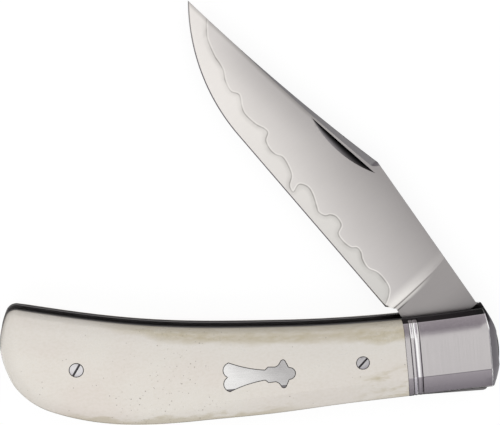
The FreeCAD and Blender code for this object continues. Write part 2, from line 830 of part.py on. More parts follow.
def build_nick():
    """The cutter of the nail nick: a wide shallow cone, kept on one side of the nick's straight edge."""
    rear = FreeCAD.Vector(SIZES["nick_rear_ahead"], -SIZES["nick_rear_back"], 0)
    front = FreeCAD.Vector(SIZES["nick_front_ahead"], -SIZES["nick_front_back"], 0)
    half_x = (s.nick_front_ahead - s.nick_rear_ahead) * HALF
    half_y = (s.nick_rear_back - s.nick_front_back) * HALF
    half_square = half_x * half_x + half_y * half_y
    radius = (half_square + s.nick_width * s.nick_width) / (2 * s.nick_width)
    spread = s.nick_width / s.nick_depth
    cone = doc.addObject("Part::Cone", "nick_cone")
    cone.setExpression("Radius1", (radius - s.nick_width).text)
    cone.setExpression("Radius2", (radius + s.overrun * spread).text)
    cone.setExpression("Height", (s.nick_depth + s.overrun).text)
    box = doc.addObject("Part::Box", "nick_box")
    box.setExpression("Length", (radius * 2).text)
    box.setExpression("Width", (s.nick_width * 2).text)
    box.setExpression("Height", (s.nick_depth + s.overrun).text)
    middle_x = (s.nick_rear_ahead + s.nick_front_ahead) * HALF
    middle_y = (s.nick_rear_back + s.nick_front_back) * -HALF
    ends = [blade_face(size, middle_y).value for size in (s.nick_rear_ahead, s.nick_front_ahead)]
    along_fall = (ends[1] - ends[0]) / (2 * half_x.value)
    width_fall = (
        blade_face(middle_x, middle_y + s.nick_width).value - blade_face(middle_x, middle_y).value
    ) / SIZES["nick_width"]
    normal = FreeCAD.Vector(-along_fall, -width_fall, 1)
    along = (front - rear).normalize()
    across = normal.cross(along)
    turn = FreeCAD.Rotation(along, across, normal, "ZXY")
    surface = FreeCAD.Vector(middle_x.value, middle_y.value, blade_face(middle_x, middle_y).value)
    floor = surface - normal.normalize() * SIZES["nick_depth"]
    inset = radius.value - SIZES["nick_width"]
    cone.Placement = FreeCAD.Placement(floor - across.normalize() * inset, turn)
    box.Placement = FreeCAD.Placement(floor - along * radius.value, turn)
    nick = doc.addObject("Part::Common", "nick")
    nick.Base = cone
    nick.Tool = box
    doc.recompute()
    return nick


def build_blade():
    edge = s.edge_front + s.overrun
    spine = -(s.clip_back + s.overrun)
    tip = s.tip_ahead + s.overrun
    bevel = grinding_tool(
        "face_cutter", s.plunge_ahead, tip, (edge, spine), blade_face, s.plunge_radius
    )
    root_back = s.clip_back - s.swedge_width
    run = s.swedge_run_ahead - s.clip_ahead
    fall = (root_back - s.swedge_run_back) / run
    run_height = blade_face(s.swedge_run_ahead, -s.swedge_run_back)
    sink = (blade_face(s.clip_ahead, -root_back) - run_height) / run
    slope = tangent(s.swedge_slope_angle)

    def swedge_height(ahead, front):
        """Height of the swedge's facet, which leaves the ground face along a straight line."""
        before_run = s.swedge_run_ahead - ahead
        inside_line = front + s.swedge_run_back + fall * before_run
        return run_height + sink * before_run + slope * inside_line

    swedge = grinding_tool(
        "swedge_cutter",
        s.swedge_start_ahead,
        s.swedge_end_ahead,
        (s.swedge_width - s.swedge_run_back, spine),
        swedge_height,
        s.plunge_radius,
    )
    blade = build_blank()
    cutters = [bevel, mirrored(bevel), swedge, mirrored(swedge), build_nick()]
    for cutter in cutters:
        cut = doc.addObject("Part::Cut", "ground")
        cut.Base = blade
        cut.Tool = cutter
        doc.recompute()
        if not cut.Shape.Volume < blade.Shape.Volume:
            raise RuntimeError(f"{cutter.Label} cuts nothing from the blade")
        blade = cut
    blade.Label = "blade"
    place(blade, ZERO, ZERO, middle, rest_angle)
    return blade


spring_pins = [
    (-s.centre_pin_back, -s.centre_pin_drop),
    (butt_end + s.rear_pin_inset, -s.rear_pin_drop),
]
bolster_pins = [
    (-s.bolster_pin_back, s.upper_bolster_pin_rise),
    (-s.bolster_pin_back, -s.lower_bolster_pin_drop),
]
scale_screws = [
    (-s.front_screw_back, s.front_screw_rise, s.front_slot_angle),
    (butt_end + s.rear_screw_inset, s.rear_screw_rise, s.rear_slot_angle),
]

pieces = [build_blade(), build_spring(), build_shield()]
for side, word in ((NEAR, "near"), (FAR, "far")):
    pieces.append(build_liner(f"{word}_liner", side))
    pieces.append(build_scale(f"{word}_scale", side))
    pieces.append(build_bolster(f"{word}_bolster", side))
    pieces.append(build_washer(f"{word}_washer", side))
    for (x, y, angle), end in zip(scale_screws, ("front", "rear")):
        pieces.append(build_screw(f"{word}_{end}_screw", x, y, angle, side))
    seat = s.bolster_pin_seat + s.liner_thickness
    base = middle + half_gap if side == NEAR else middle - half_core - s.bolster_pin_seat
    for (x, y), end in zip(bolster_pins, ("upper", "lower")):
        label = f"{word}_{end}_bolster_pin"
        pieces.append(build_pin(label, x, y, s.bolster_pin_radius, seat, base))
pivot_half = half_core + s.pivot_seat
pieces.append(
    build_pin("pivot_pin", ZERO, ZERO, s.pivot_radius, pivot_half * 2, middle - pivot_half)
)
for (x, y), end in zip(spring_pins, ("centre", "rear")):
    label = f"spring_{end}_pin"
    pieces.append(build_pin(label, x, y, s.spring_pin_radius, half_core * 2, middle - half_core))

doc.recompute()
for thing in doc.Objects:
    if {"Invalid", "Error"} & set(thing.State):
        raise RuntimeError(f"{thing.Label} did not build: {thing.State}")
os.makedirs("parts", exist_ok=True)
for piece in pieces:
    if piece.Shape.isNull() or not piece.Shape.isValid() or not piece.Shape.Solids:
        raise RuntimeError(f"{piece.Label} has no valid solid")
    piece.Shape.exportStep(os.path.join("parts", f"{piece.Label}.step"))
    print(piece.Label, len(piece.Shape.Solids), round(piece.Shape.Volume, 3))
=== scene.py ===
"""Looks of a folding pocket knife with one clip-point blade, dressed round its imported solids.

Lengths are in millimetres in the frame of the part: X runs along the back of the handle towards the
bolsters, Y from the back towards the slot of the blade, Z up, and the pivot axis is at X = Y = 0. The
blade has its own plane: u from the pivot towards the tip, v towards the edge. The set round the knife
is in metres.
"""
from __future__ import annotations

import json
import logging
import math
from abc import ABC, abstractmethod
from dataclasses import dataclass
from enum import Enum
from typing import Callable, Iterable, Optional, Sequence, Union

import bmesh
import bpy
import numpy as np
from bpy.types import ID, Material, Node, NodeSocket, NodeTree, Object
from mathutils import Matrix, Vector
from mathutils.geometry import delaunay_2d_cdt

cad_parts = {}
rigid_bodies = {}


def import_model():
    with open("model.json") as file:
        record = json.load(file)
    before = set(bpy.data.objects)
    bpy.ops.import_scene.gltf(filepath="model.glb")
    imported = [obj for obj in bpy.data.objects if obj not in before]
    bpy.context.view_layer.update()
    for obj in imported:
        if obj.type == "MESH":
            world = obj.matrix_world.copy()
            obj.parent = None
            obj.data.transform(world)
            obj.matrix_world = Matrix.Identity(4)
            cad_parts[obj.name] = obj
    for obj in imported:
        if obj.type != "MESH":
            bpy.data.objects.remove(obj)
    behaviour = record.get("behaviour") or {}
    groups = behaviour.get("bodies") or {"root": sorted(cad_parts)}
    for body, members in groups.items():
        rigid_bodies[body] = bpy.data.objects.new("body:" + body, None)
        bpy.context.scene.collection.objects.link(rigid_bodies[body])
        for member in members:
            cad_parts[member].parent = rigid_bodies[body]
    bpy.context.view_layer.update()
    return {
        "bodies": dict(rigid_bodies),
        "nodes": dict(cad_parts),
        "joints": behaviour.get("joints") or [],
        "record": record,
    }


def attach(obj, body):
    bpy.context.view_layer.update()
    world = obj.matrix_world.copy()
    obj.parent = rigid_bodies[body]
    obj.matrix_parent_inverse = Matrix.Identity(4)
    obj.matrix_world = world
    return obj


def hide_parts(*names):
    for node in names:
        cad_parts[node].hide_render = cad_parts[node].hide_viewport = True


LOG = logging.getLogger("knife")
MM = 0.001
# Points of a mesh that are closer than this become one
MERGE = 0.0005
# Places of a sheet that are closer than this become one
SNAP = 1e-5
# Distances that differ by less than this are the same
SAME = 1e-9
# Angle in degrees past which an edge is sharp, where a piece has no angle of its own
CREASE = 30.0
# A height over every face, for a facet where it isn't ground
ABOVE = 10.0
# Sockets of a Mix node that are for colours, since others have the same names
MIX_FIRST, MIX_SECOND, MIX_RESULT = 6, 7, 2

Array = np.ndarray
Flat = Array  # Rows of x and y
Span = tuple[float, float]
Number = Union[float, Array]
Rule = Callable[[Flat], Number]
Marks = dict[str, dict[int, float]]
Colour = tuple[float, float, float]
Place = tuple[float, float, float]
Row = tuple[float, float, float, float]
Tint = Union[Colour, NodeSocket]


class Side(Enum):
    """The two sides of the knife, with the way that they face along Z."""

    NEAR = 1
    FAR = -1

    @property
    def word(self) -> str:
        """The word that starts the names of this side's nodes."""
        return self.name.lower()


class Body(Enum):
    """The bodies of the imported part."""

    HANDLE = "handle"
    BLADE = "blade"


def tone(red: float, green: float, blue: float) -> Colour:
    """Gives the linear colour of a screen colour, which is given from 0 to 255."""

    def linear(value: float) -> float:
        """Undoes the sRGB curve of the screen for one value."""
        share = value / 255.0
        return share / 12.92 if share <= 0.04045 else ((share + 0.055) / 1.055) ** 2.4

    return linear(red), linear(green), linear(blue)


def heading(line: Flat) -> float:
    """Gives the direction of a line in radians."""
    return math.atan2(line[1], line[0])


def eased(value: Number, low: float, high: float) -> Array:
    """Goes smoothly from 0 at one value to 1 at another."""
    share = np.clip((value - low) / (high - low), 0.0, 1.0)
    return share * share * (3 - 2 * share)


def spun(places: Flat, degrees: float) -> Flat:
    """Turns places about the origin."""
    cos, sin = math.cos(math.radians(degrees)), math.sin(math.radians(degrees))
    return places @ np.array([[cos, sin], [-sin, cos]])


def arc_points(centre: Sequence[float], radius: float, start: float, end: float, count: int) -> Flat:
    """Gives a count of points on an arc between two angles in radians, both ends included."""
    turns = np.linspace(start, end, count)
    return np.column_stack([centre[0] + radius * np.cos(turns), centre[1] + radius * np.sin(turns)])


def circle_points(centre: Sequence[float], radius: float, count: int) -> Flat:
    """Gives points on a full circle."""
    return arc_points(centre, radius, 0.0, math.tau, count + 1)[:-1]


def left_of(steps: Flat) -> Flat:
    """Gives the unit vectors to the left of steps along a line."""
    left = np.column_stack([-steps[:, 1], steps[:, 0]])
    return left / np.hypot(left[:, 0], left[:, 1])[:, None]


def bend_centre(start: Flat, end: Flat, bend: float) -> Flat:
    """Gives the centre of the short arc between two places.

    Args:
        start: Where the arc starts.
        end: Where it ends.
        bend: Radius of a bend to the left, below zero to the right.

    Returns:
        The centre.
    """
    chord = end - start
    length = float(np.hypot(*chord))
    left = np.array([-chord[1], chord[0]]) / length
    reach = math.sqrt(max(bend * bend - length * length / 4, 0.0))
    return (start + end) / 2 + left * math.copysign(reach, bend)


def bend_points(start: Flat, end: Flat, bend: Optional[float], count: int) -> Flat:
    """Gives points on the short arc between two places, without the last one.

    Args:
        start: Where the arc starts.
        end: Where it ends.
        bend: Radius of a bend to the left, below zero to the right, or None for a straight line.
        count: Number of points.

    Returns:
        One row of x and y for each point.
    """
    if bend is None:
        return start + (end - start) * np.linspace(0.0, 1.0, count, endpoint=False)[:, None]
    centre = bend_centre(start, end, bend)
    first, last = heading(start - centre), heading(end - centre)
    if bend > 0 and last < first:
        last += math.tau
    if bend < 0 and last > first:
        last -= math.tau
    return arc_points(centre, abs(bend), first, last, count + 1)[:-1]


def circles_meet(centre_a: Flat, radius_a: float, centre_b: Flat, radius_b: float) -> list[Flat]:
    """Gives both points where two circles cross.

    Args:
        centre_a: Centre of the first circle.
        radius_a: Its radius.
        centre_b: Centre of the second circle.
        radius_b: Its radius.

    Returns:
        The two points.
    """
    line = centre_b - centre_a
    length = float(np.hypot(*line))
    along = (radius_a**2 - radius_b**2 + length**2) / (2 * length)
    across = math.sqrt(radius_a**2 - along**2)
    unit = line / length
    side = np.array([-unit[1], unit[0]])
    return [centre_a + unit * along + side * across * sign for sign in (1, -1)]


def inside(loop: Flat, places: Flat) -> Array:
    """Tells which places lie inside a closed loop.

    Args:
        loop: Corners of the loop.
        places: Places to test.

    Returns:
        True for each place that is inside.
    """
    ends = np.roll(loop, -1, axis=0)
    found = np.zeros(len(places), dtype=bool)
    for (ax, ay), (bx, by) in zip(loop, ends):
        crosses = (ay > places[:, 1]) != (by > places[:, 1])
        if crosses.any():
            at = ax + (places[:, 1] - ay) * (bx - ax) / (by - ay)
            found ^= crosses & (places[:, 0] < at)
    return found


def line_distance(line: Flat, places: Flat) -> Array:
    """Gives the distance of places from an open line, above zero on its left.

    Args:
        line: Points of the line.
        places: Places to measure.

    Returns:
        One distance for each place.
    """
    best = np.full(len(places), np.inf)
    signs = np.ones(len(places))
    for start, end in zip(line[:-1], line[1:]):
        chord = end - start
        away = places - start
        share = np.clip(away @ chord / max(chord @ chord, SAME), 0.0, 1.0)
        gap = away - share[:, None] * chord
        reach = np.hypot(gap[:, 0], gap[:, 1])
        nearer = reach < best - SAME
        best = np.where(nearer, reach, best)
        turn = chord[0] * away[:, 1] - chord[1] * away[:, 0]
        signs = np.where(nearer, np.where(turn >= 0, 1.0, -1.0), signs)
    return best * signs


def put(name: str, data: ID) -> Object:
    """Adds an object of a mesh, lamp or camera to the scene."""
    thing = bpy.data.objects.new(name, data)
    bpy.context.scene.collection.objects.link(thing)
    return thing


class Shell:
    """Points and faces in millimetres that become one closed mesh."""

    def __init__(self) -> None:
        """Starts with no points."""
        self.points: list[Sequence[float]] = []
        self.faces: list[Sequence[int]] = []
        self.marks: Marks = {}
        self.areas: Marks = {}

    @staticmethod
    def note(table: Marks, numbers: Sequence[int], values: dict[str, Number]) -> None:
        """Keeps marks of numbered points or faces, one value for all of them or one for each."""
        for name, value in values.items():
            each = np.broadcast_to(np.asarray(value, dtype=float), (len(numbers),))
            table.setdefault(name, {}).update(zip(numbers, each.tolist()))

    def add(self, line: Flat, z: Number, **marks: Number) -> list[int]:
        """Adds points.

        Args:
            line: Rows of x and y.
            z: One height for all the points or one for each.
            **marks: Values of the points that the finish reads.

        Returns:
            The numbers of the points.
        """
        start = len(self.points)
        self.points += np.column_stack([line, np.broadcast_to(z, (len(line),))]).tolist()
        numbers = list(range(start, len(self.points)))
        self.note(self.marks, numbers, marks)
        return numbers

    def area(self, since: int, **values: Number) -> None:
        """Marks the faces that were added since a count."""
        self.note(self.areas, range(since, len(self.faces)), values)

    def rows(self, rows: Sequence[Sequence[int]], closed: bool = False) -> None:
        """Joins each row of points to the next by four-sided faces.

        Args:
            rows: The numbers of each row's points.
            closed: Whether a row's last point joins its first.
        """
        for first, second in zip(rows[:-1], rows[1:]):
            count = len(first)
            for here in range(count if closed else count - 1):
                there = (here + 1) % count
                self.faces.append((first[here], first[there], second[there], second[here]))

    def cap(self, rows: Sequence[Sequence[int]]) -> None:
        """Closes the ends of open rows by one face."""
        self.faces.append([row[0] for row in rows] + [row[-1] for row in rows[::-1]])

    def wall(
        self, levels: Iterable[tuple[Flat, Number]], closed: bool = True, **marks: Number
    ) -> list[list[int]]:
        """Adds lines at their heights and joins each to the next.

        Args:
            levels: The lines, each with its height.
            closed: Whether the lines are loops.
            **marks: Values of the points that the finish reads.

        Returns:
            The numbers of each line's points.
        """
        rows = [self.add(line, z, **marks) for line, z in levels]
        self.rows(rows, closed)
        return rows

    def sheet(
        self,
        outline: Flat,
        holes: Sequence[Flat],
        lift: Rule,
        lines: Sequence[Flat] = (),
        spots: Sequence[Flat] = (),
        areas: Optional[dict[str, Rule]] = None,
        **marks: Rule,
    ) -> None:
        """Fills a flat outline with triangles and lifts them to their heights.

        Args:
            outline: Corners of the outer loop.
            holes: Loops that stay open.
            lift: Gives the height of each place.
            lines: Open lines that edges follow.
            spots: Sets of more places that get a point.
            areas: Functions that give a mark for each face by its middle.
            **marks: Functions that give a mark for each point.
        """
        edges: list[tuple[int, int]] = []
        start = 0
        chains = [(loop, 0) for loop in (outline, *holes)] + [(line, 1) for line in lines]
        for chain, open_end in chains:
            count = len(chain)
            edges += [(start + n, start + (n + 1) % count) for n in range(count - open_end)]
            start += count
        places = [Vector(place) for place in np.vstack([outline, *holes, *lines, *spots])]
        found, _, triangles, *_ = delaunay_2d_cdt(places, edges, [], 0, SNAP)
        where = np.array([tuple(place) for place in found])
        middles = where[np.array(triangles)].mean(axis=1)
        keep = inside(outline, middles)
        for hole in holes:
            keep &= ~inside(hole, middles)
        numbers = self.add(where, lift(where), **{name: rule(where) for name, rule in marks.items()})
        since = len(self.faces)
        self.faces += [[numbers[n] for n in face] for face, kept in zip(triangles, keep) if kept]
        self.area(since, **{name: rule(middles[keep]) for name, rule in (areas or {}).items()})

    def build(self, name: str, material: Material, crease: float = CREASE) -> Object:
        """Makes the mesh and its object.

        Args:
            name: Name of the piece.
            material: Finish of the piece.
            crease: Angle in degrees past which an edge is sharp.

        Returns:
            The object, at the origin.
        """
        work = bmesh.new()
        layers = {mark: work.verts.layers.float.new(mark) for mark in self.marks}
        corners = [work.verts.new([c * MM for c in point]) for point in self.points]
        for mark, values in self.marks.items():
            for number, value in values.items():
                corners[number][layers[mark]] = value
        spans = {mark: work.faces.layers.float.new(mark) for mark in self.areas}
        for number, face in enumerate(self.faces):
            ring = list(dict.fromkeys(corners[n] for n in face))
            if len(ring) > 2:
                made = work.faces.new(ring)
                for mark, values in self.areas.items():
                    made[spans[mark]] = values.get(number, 0.0)
        bmesh.ops.remove_doubles(work, verts=work.verts, dist=MERGE * MM)
        bmesh.ops.dissolve_degenerate(work, edges=work.edges, dist=MERGE * MM)
        loose = [v for v in work.verts if not v.link_faces]
        bmesh.ops.delete(work, geom=loose, context="VERTS")
        bmesh.ops.recalc_face_normals(work, faces=work.faces)
        return finish_mesh(work, name, material, crease)


def finish_mesh(work: bmesh.types.BMesh, name: str, material: Material, crease: float) -> Object:
    """Turns worked faces into an object with smooth faces and sharp creases.

    Args:
        work: The faces.
        name: Name of the piece.
        material: Finish of the piece.
        crease: Angle in degrees past which an edge is sharp.

    Returns:
        The object, at the origin.
    """
    limit = math.radians(crease)
    for face in work.faces:
        face.smooth = True
    for edge in work.edges:
        edge.smooth = len(edge.link_faces) == 2 and edge.calc_face_angle(0.0) < limit
    mesh = bpy.data.meshes.new(name)
    work.to_mesh(mesh)
    work.free()
    mesh.materials.append(material)
    return put(name, mesh)


def plain(piece: Object) -> Object:
    """Turns a piece and its modifiers into a plain mesh.

    Args:
        piece: The piece, with its modifiers.

    Returns:
        The same piece without them.
    """
    graph = bpy.context.evaluated_depsgraph_get()
    graph.update()
    mesh = bpy.data.meshes.new_from_object(piece.evaluated_get(graph), depsgraph=graph)
    piece.modifiers.clear()
    mesh.name = piece.name
    piece.data = mesh
    return piece


class Signal:
    """A number in a node tree, on which Python's operators add the nodes that work it out."""

    def __init__(self, graph: Graph, socket: NodeSocket) -> None:
        """Wraps one output socket."""
        self.graph = graph
        self.socket = socket

    def _math(self, operation: str, *terms: Term) -> Signal:
        """Adds one Math node."""
        node = self.graph.add("ShaderNodeMath", dict(enumerate(terms)), operation=operation)
        return Signal(self.graph, node.outputs[0])

    def __add__(self, other: Term) -> Signal:
        """Adds a value."""
        return self._math("ADD", self, other)

    __radd__ = __add__

    def __sub__(self, other: Term) -> Signal:
        """Takes a value away."""
        return self._math("SUBTRACT", self, other)

    def __rsub__(self, other: Term) -> Signal:
        """Takes this away from a value."""
        return self._math("SUBTRACT", other, self)

    def __mul__(self, other: Term) -> Signal:
        """Multiplies by a value."""
        return self._math("MULTIPLY", self, other)

    __rmul__ = __mul__

    def __pow__(self, other: Term) -> Signal:
        """Raises this to a power."""
        return self._math("POWER", self, other)

    def __abs__(self) -> Signal:
        """Drops the sign."""
        return self._math("ABSOLUTE", self)

    def over(self, low: float, high: float) -> Signal:
        """Goes smoothly from 0 at one value to 1 at another."""
        inputs = {"Value": self, "From Min": low, "From Max": high}
        node = self.graph.add("ShaderNodeMapRange", inputs, interpolation_type="SMOOTHSTEP")
        return Signal(self.graph, node.outputs["Result"])

    def under(self, low: float, high: float) -> Signal:
        """Goes smoothly from 1 at one value to 0 at another."""
        return 1.0 - self.over(low, high)

    def ramp(self, low: float, high: float) -> Signal:
        """Goes straight from 0 at one value to 1 at another, and on beyond both."""
        return (self - low) * (1.0 / (high - low))

    def between(self, low: float, high: float) -> Signal:
        """Gives one value where this is 0 and another where it is 1."""
        return self * (high - low) + low


Term = Union[Signal, float]


class Graph:
    """A node tree: of a finish, of the sky or of what repeats."""

    def __init__(self, tree: NodeTree) -> None:
        """Empties the tree."""
        self.tree = tree
        self.tree.nodes.clear()

    @classmethod
    def of_material(cls, name: str) -> tuple[Graph, Material]:
        """Starts a material and gives its empty tree with it."""
        material = bpy.data.materials.new(name)
        material.use_nodes = True
        return cls(material.node_tree), material

    def add(self, kind: str, sockets: Optional[dict] = None, **settings: object) -> Node:
        """Adds a node.

        Args:
            kind: Type of the node.
            sockets: Values or links of its inputs, by name or number.
            **settings: Settings of the node, set first.

        Returns:
            The node.
        """
        node = self.tree.nodes.new(kind)
        for name, value in settings.items():
            setattr(node, name, value)
        for key, value in (sockets or {}).items():
            source = value.socket if isinstance(value, Signal) else value
            if isinstance(source, NodeSocket):
                self.tree.links.new(source, node.inputs[key])
            else:
                node.inputs[key].default_value = source
        return node

    def place(self, grain: Span, turn: float = 0.0) -> NodeSocket:
        """Gives places on the piece, turned about Z and stretched.

        Args:
            grain: Steps of the pattern per millimetre, along it and across it.
            turn: Turn of the pattern's axes in degrees.

        Returns:
            The vector socket.
        """
        where = self.add("ShaderNodeTexCoord").outputs["Object"]
        spin = {"Vector": where, "Rotation": (0.0, 0.0, math.radians(turn))}
        turned = self.add("ShaderNodeMapping", spin, vector_type="TEXTURE")
        along, across = grain[0] / MM, grain[1] / MM
        stretch = {"Vector": turned.outputs[0], "Scale": (along, across, across)}
        return self.add("ShaderNodeMapping", stretch, vector_type="POINT").outputs[0]

    def noise(self, grain: Span, turn: float = 0.0, detail: float = 3.0) -> Signal:
        """Gives a noise from 0 to 1, by its steps per millimetre along and across."""
        inputs = {"Vector": self.place(grain, turn), "Scale": 1.0, "Detail": detail}
        return Signal(self, self.add("ShaderNodeTexNoise", inputs).outputs[0])

    def drift(self, grain: Span, turn: float = 0.0, detail: float = 3.0) -> Signal:
        """Gives a noise from -0.5 to 0.5."""
        return self.noise(grain, turn, detail) - 0.5

    def along(self, axis: str, turn: float = 0.0) -> Signal:
        """Gives the place along an axis in millimetres."""
        parts = self.add("ShaderNodeSeparateXYZ", {0: self.place((1.0, 1.0), turn)})
        return Signal(self, parts.outputs[axis])

    def mark(self, name: str) -> Signal:
        """Reads a mark of the mesh."""
        node = self.add("ShaderNodeAttribute", attribute_name=name)
        return Signal(self, node.outputs["Fac"])

    def mix(self, share: Term, first: Tint, second: Tint) -> NodeSocket:
        """Mixes two colours.

        Args:
            share: Share of the second colour.
            first: The first colour.
            second: The second colour.

        Returns:
            The socket of the mixed colour.
        """
        inputs: dict = {"Factor": share}
        for key, tint in ((MIX_FIRST, first), (MIX_SECOND, second)):
            inputs[key] = tint if isinstance(tint, NodeSocket) else (*tint, 1.0)
        node = self.add("ShaderNodeMix", inputs, data_type="RGBA", clamp_factor=True)
        return node.outputs[MIX_RESULT]

    def scale(self, colour: Tint, share: Term) -> NodeSocket:
        """Makes a colour brighter or darker."""
        node = self.add("ShaderNodeVectorMath", {0: colour, "Scale": share}, operation="SCALE")
        return node.outputs[0]

    def bump(self, height: Signal, depth: float) -> NodeSocket:
        """Gives the normal of a relief of some depth in millimetres."""
        inputs = {"Strength": 1.0, "Distance": depth * MM, "Height": height}
        return self.add("ShaderNodeBump", inputs).outputs[0]

    def close(self, shader: Node, kind: str = "ShaderNodeOutputMaterial") -> None:
        """Ends the tree in a shader."""
        self.add(kind, {"Surface": shader.outputs[0]})

    def surface(self, **sockets: object) -> None:
        """Ends the tree in a shaded surface, by its inputs with underscores for spaces."""
        inputs = {name.replace("_", " "): value for name, value in sockets.items()}
        self.close(self.add("ShaderNodeBsdfPrincipled", inputs))


@dataclass(frozen=True)
class Stack:
    """Heights of the layers of the handle, from the middle of the blade outwards."""

    middle: float = 6.02
    half_gap: float = 1.52
    half_core: float = 2.52
    scale: float = 3.5
    liner: float = 1.0

    def out(self, side: Side, distance: Number) -> Number:
        """Gives the place along Z at a distance from the middle."""
        return self.middle + side.value * distance

    def over(self, side: Side, height: Number) -> Number:
        """Gives the place along Z of a height over a liner's outer face."""
        return self.out(side, self.half_core + height)


@dataclass(frozen=True)
class HandleLine:
    """Side outline of the handle: arcs and the straight back, all of which can be inset.

    Over some stretches its top dips a little, and its lower line sags.
    """

    back: float = -8.17
    top_low: float = 7.7
    top_low_x: float = -6.9
    top_radius: float = 302.0
    butt: Span = (-78.9, 10.8)
    butt_radius: float = 14.2
    belly_radius: float = 74.0
    front: Span = (-9.5, -0.55)
    front_radius: float = 17.1
    dip: float = 0.4
    dip_span: Span = (-91.0, -36.0)
    sags: tuple[tuple[float, Span], ...] = ((0.57, (-98.0, -58.0)), (0.3, (-58.0, -22.0)))
    top_steps: int = 90
    corner_steps: int = 16
    butt_steps: int = 48
    belly_steps: int = 36
    back_steps: int = 40
    front_steps: int = 40

    @staticmethod
    def swell(x: Array, span: Span) -> Array:
        """Gives a soft swelling that is 1 in the middle of a stretch and 0 at its ends."""
        return np.sin(math.pi * np.clip((x - span[0]) / (span[1] - span[0]), 0.0, 1.0)) ** 2

    @property
    def top(self) -> Flat:
        """Centre of the arc of the handle's top."""
        return np.array([self.top_low_x, self.top_low + self.top_radius])

    @property
    def belly(self) -> Flat:
        """Centre of the arc between the back and the butt."""
        slide = self.belly_radius - self.butt_radius
        rise = self.back + self.belly_radius - self.butt[1]
        return np.array([self.butt[0] + math.sqrt(slide**2 - rise**2), self.back + self.belly_radius])

    def corner_centre(self, corner: float) -> Flat:
        """Gives the centre of the rounded corner between the top and the butt."""
        butt, radius = np.array(self.butt), self.butt_radius - corner
        return min(circles_meet(self.top, self.top_radius + corner, butt, radius), key=lambda p: p[0])

    def top_y(self, x: Number, inset: float = 0.0) -> Number:
        """Gives the height of the handle's top at a place along it."""
        return self.top[1] - np.sqrt((self.top_radius + inset) ** 2 - (x - self.top[0]) ** 2)

    def front_x(self, y: Number) -> Number:
        """Gives the place of the front end at a height across the handle."""
        return self.front[0] + np.sqrt(self.front_radius**2 - (y - self.front[1]) ** 2)

    def rim(self, corner: float, inset: float, top_end: float, back_end: float) -> Flat:
        """Gives the open line from the top over the butt to the back.

        Args:
            corner: Radius of the corner of the butt.
            inset: How far inside the outline the line runs.
            top_end: Where it starts along the top.
            back_end: Where it ends along the back.

        Returns:
            One row of x and y for each point.
        """

        def angle(line: Flat) -> float:
            """Direction of a line, from 0 to a full turn."""
            return heading(line) % math.tau

        butt, middle = np.array(self.butt), self.corner_centre(corner)
        start = np.array([top_end, float(self.top_y(top_end, inset))])
        first, last = angle(start - self.top), angle(middle - self.top)
        top = arc_points(self.top, self.top_radius + inset, first, last, self.top_steps)
        turn_in, turn_out = angle(self.top - middle), angle(middle - butt)
        bend = arc_points(middle, corner - inset, turn_in, turn_out, self.corner_steps)
        low = angle(butt - self.belly)
        end = arc_points(butt, self.butt_radius - inset, turn_out, low, self.butt_steps)
        belly = arc_points(self.belly, self.belly_radius - inset, low, 1.5 * math.pi, self.belly_steps)
        along = np.linspace(self.belly[0], back_end, self.back_steps)
        back = np.column_stack(np.broadcast_arrays(along, self.back + inset))
        top[:, 1] -= self.dip * self.swell(top[:, 0], self.dip_span)
        lower = np.vstack([end[1:], belly[1:], back[1:]])
        share = np.clip((self.butt[1] - lower[:, 1]) / self.butt_radius, 0.0, 1.0)
        lower[:, 1] -= share * sum(size * self.swell(lower[:, 0], span) for size, span in self.sags)
        return np.vstack([top, bend[1:], lower])

    def loop(self, corner: float, inset: float) -> Flat:
        """Gives the closed outline.

        Args:
            corner: Radius of the corner of the butt.
            inset: How far inside the outline the loop runs.

        Returns:
            One row of x and y for each point.
        """
        front = np.array(self.front)
        radius = self.front_radius - inset
        high = max(circles_meet(self.top, self.top_radius + inset, front, radius), key=lambda p: p[0])
        low_y = self.back + inset
        low = np.array([front[0] + math.sqrt(radius**2 - (low_y - front[1]) ** 2), low_y])
        end = arc_points(front, radius, heading(low - front), heading(high - front), self.front_steps)
        return np.vstack([self.rim(corner, inset, high[0], low[0]), end[1:-1]])


@dataclass(frozen=True)
class Streak:
    """A soft stripe beside a line, whose strength follows a second measure.

    It rises and falls over two spans of the distance from the line. Its shares are those before and
    past a span of the second measure.
    """

    rise: Span
    fall: Span
    by_span: Span
    shares: Span
    colour: Colour

    def paint(self, body: Tint, gap: Signal, by: Signal, share: Term = 1.0) -> Tint:
        """Lays the stripe over a colour, by the distance from its line and the second measure."""
        band = gap.over(*self.rise) * gap.under(*self.fall) * share
        return gap.graph.mix(band * by.over(*self.by_span).between(*self.shares), body, self.colour)


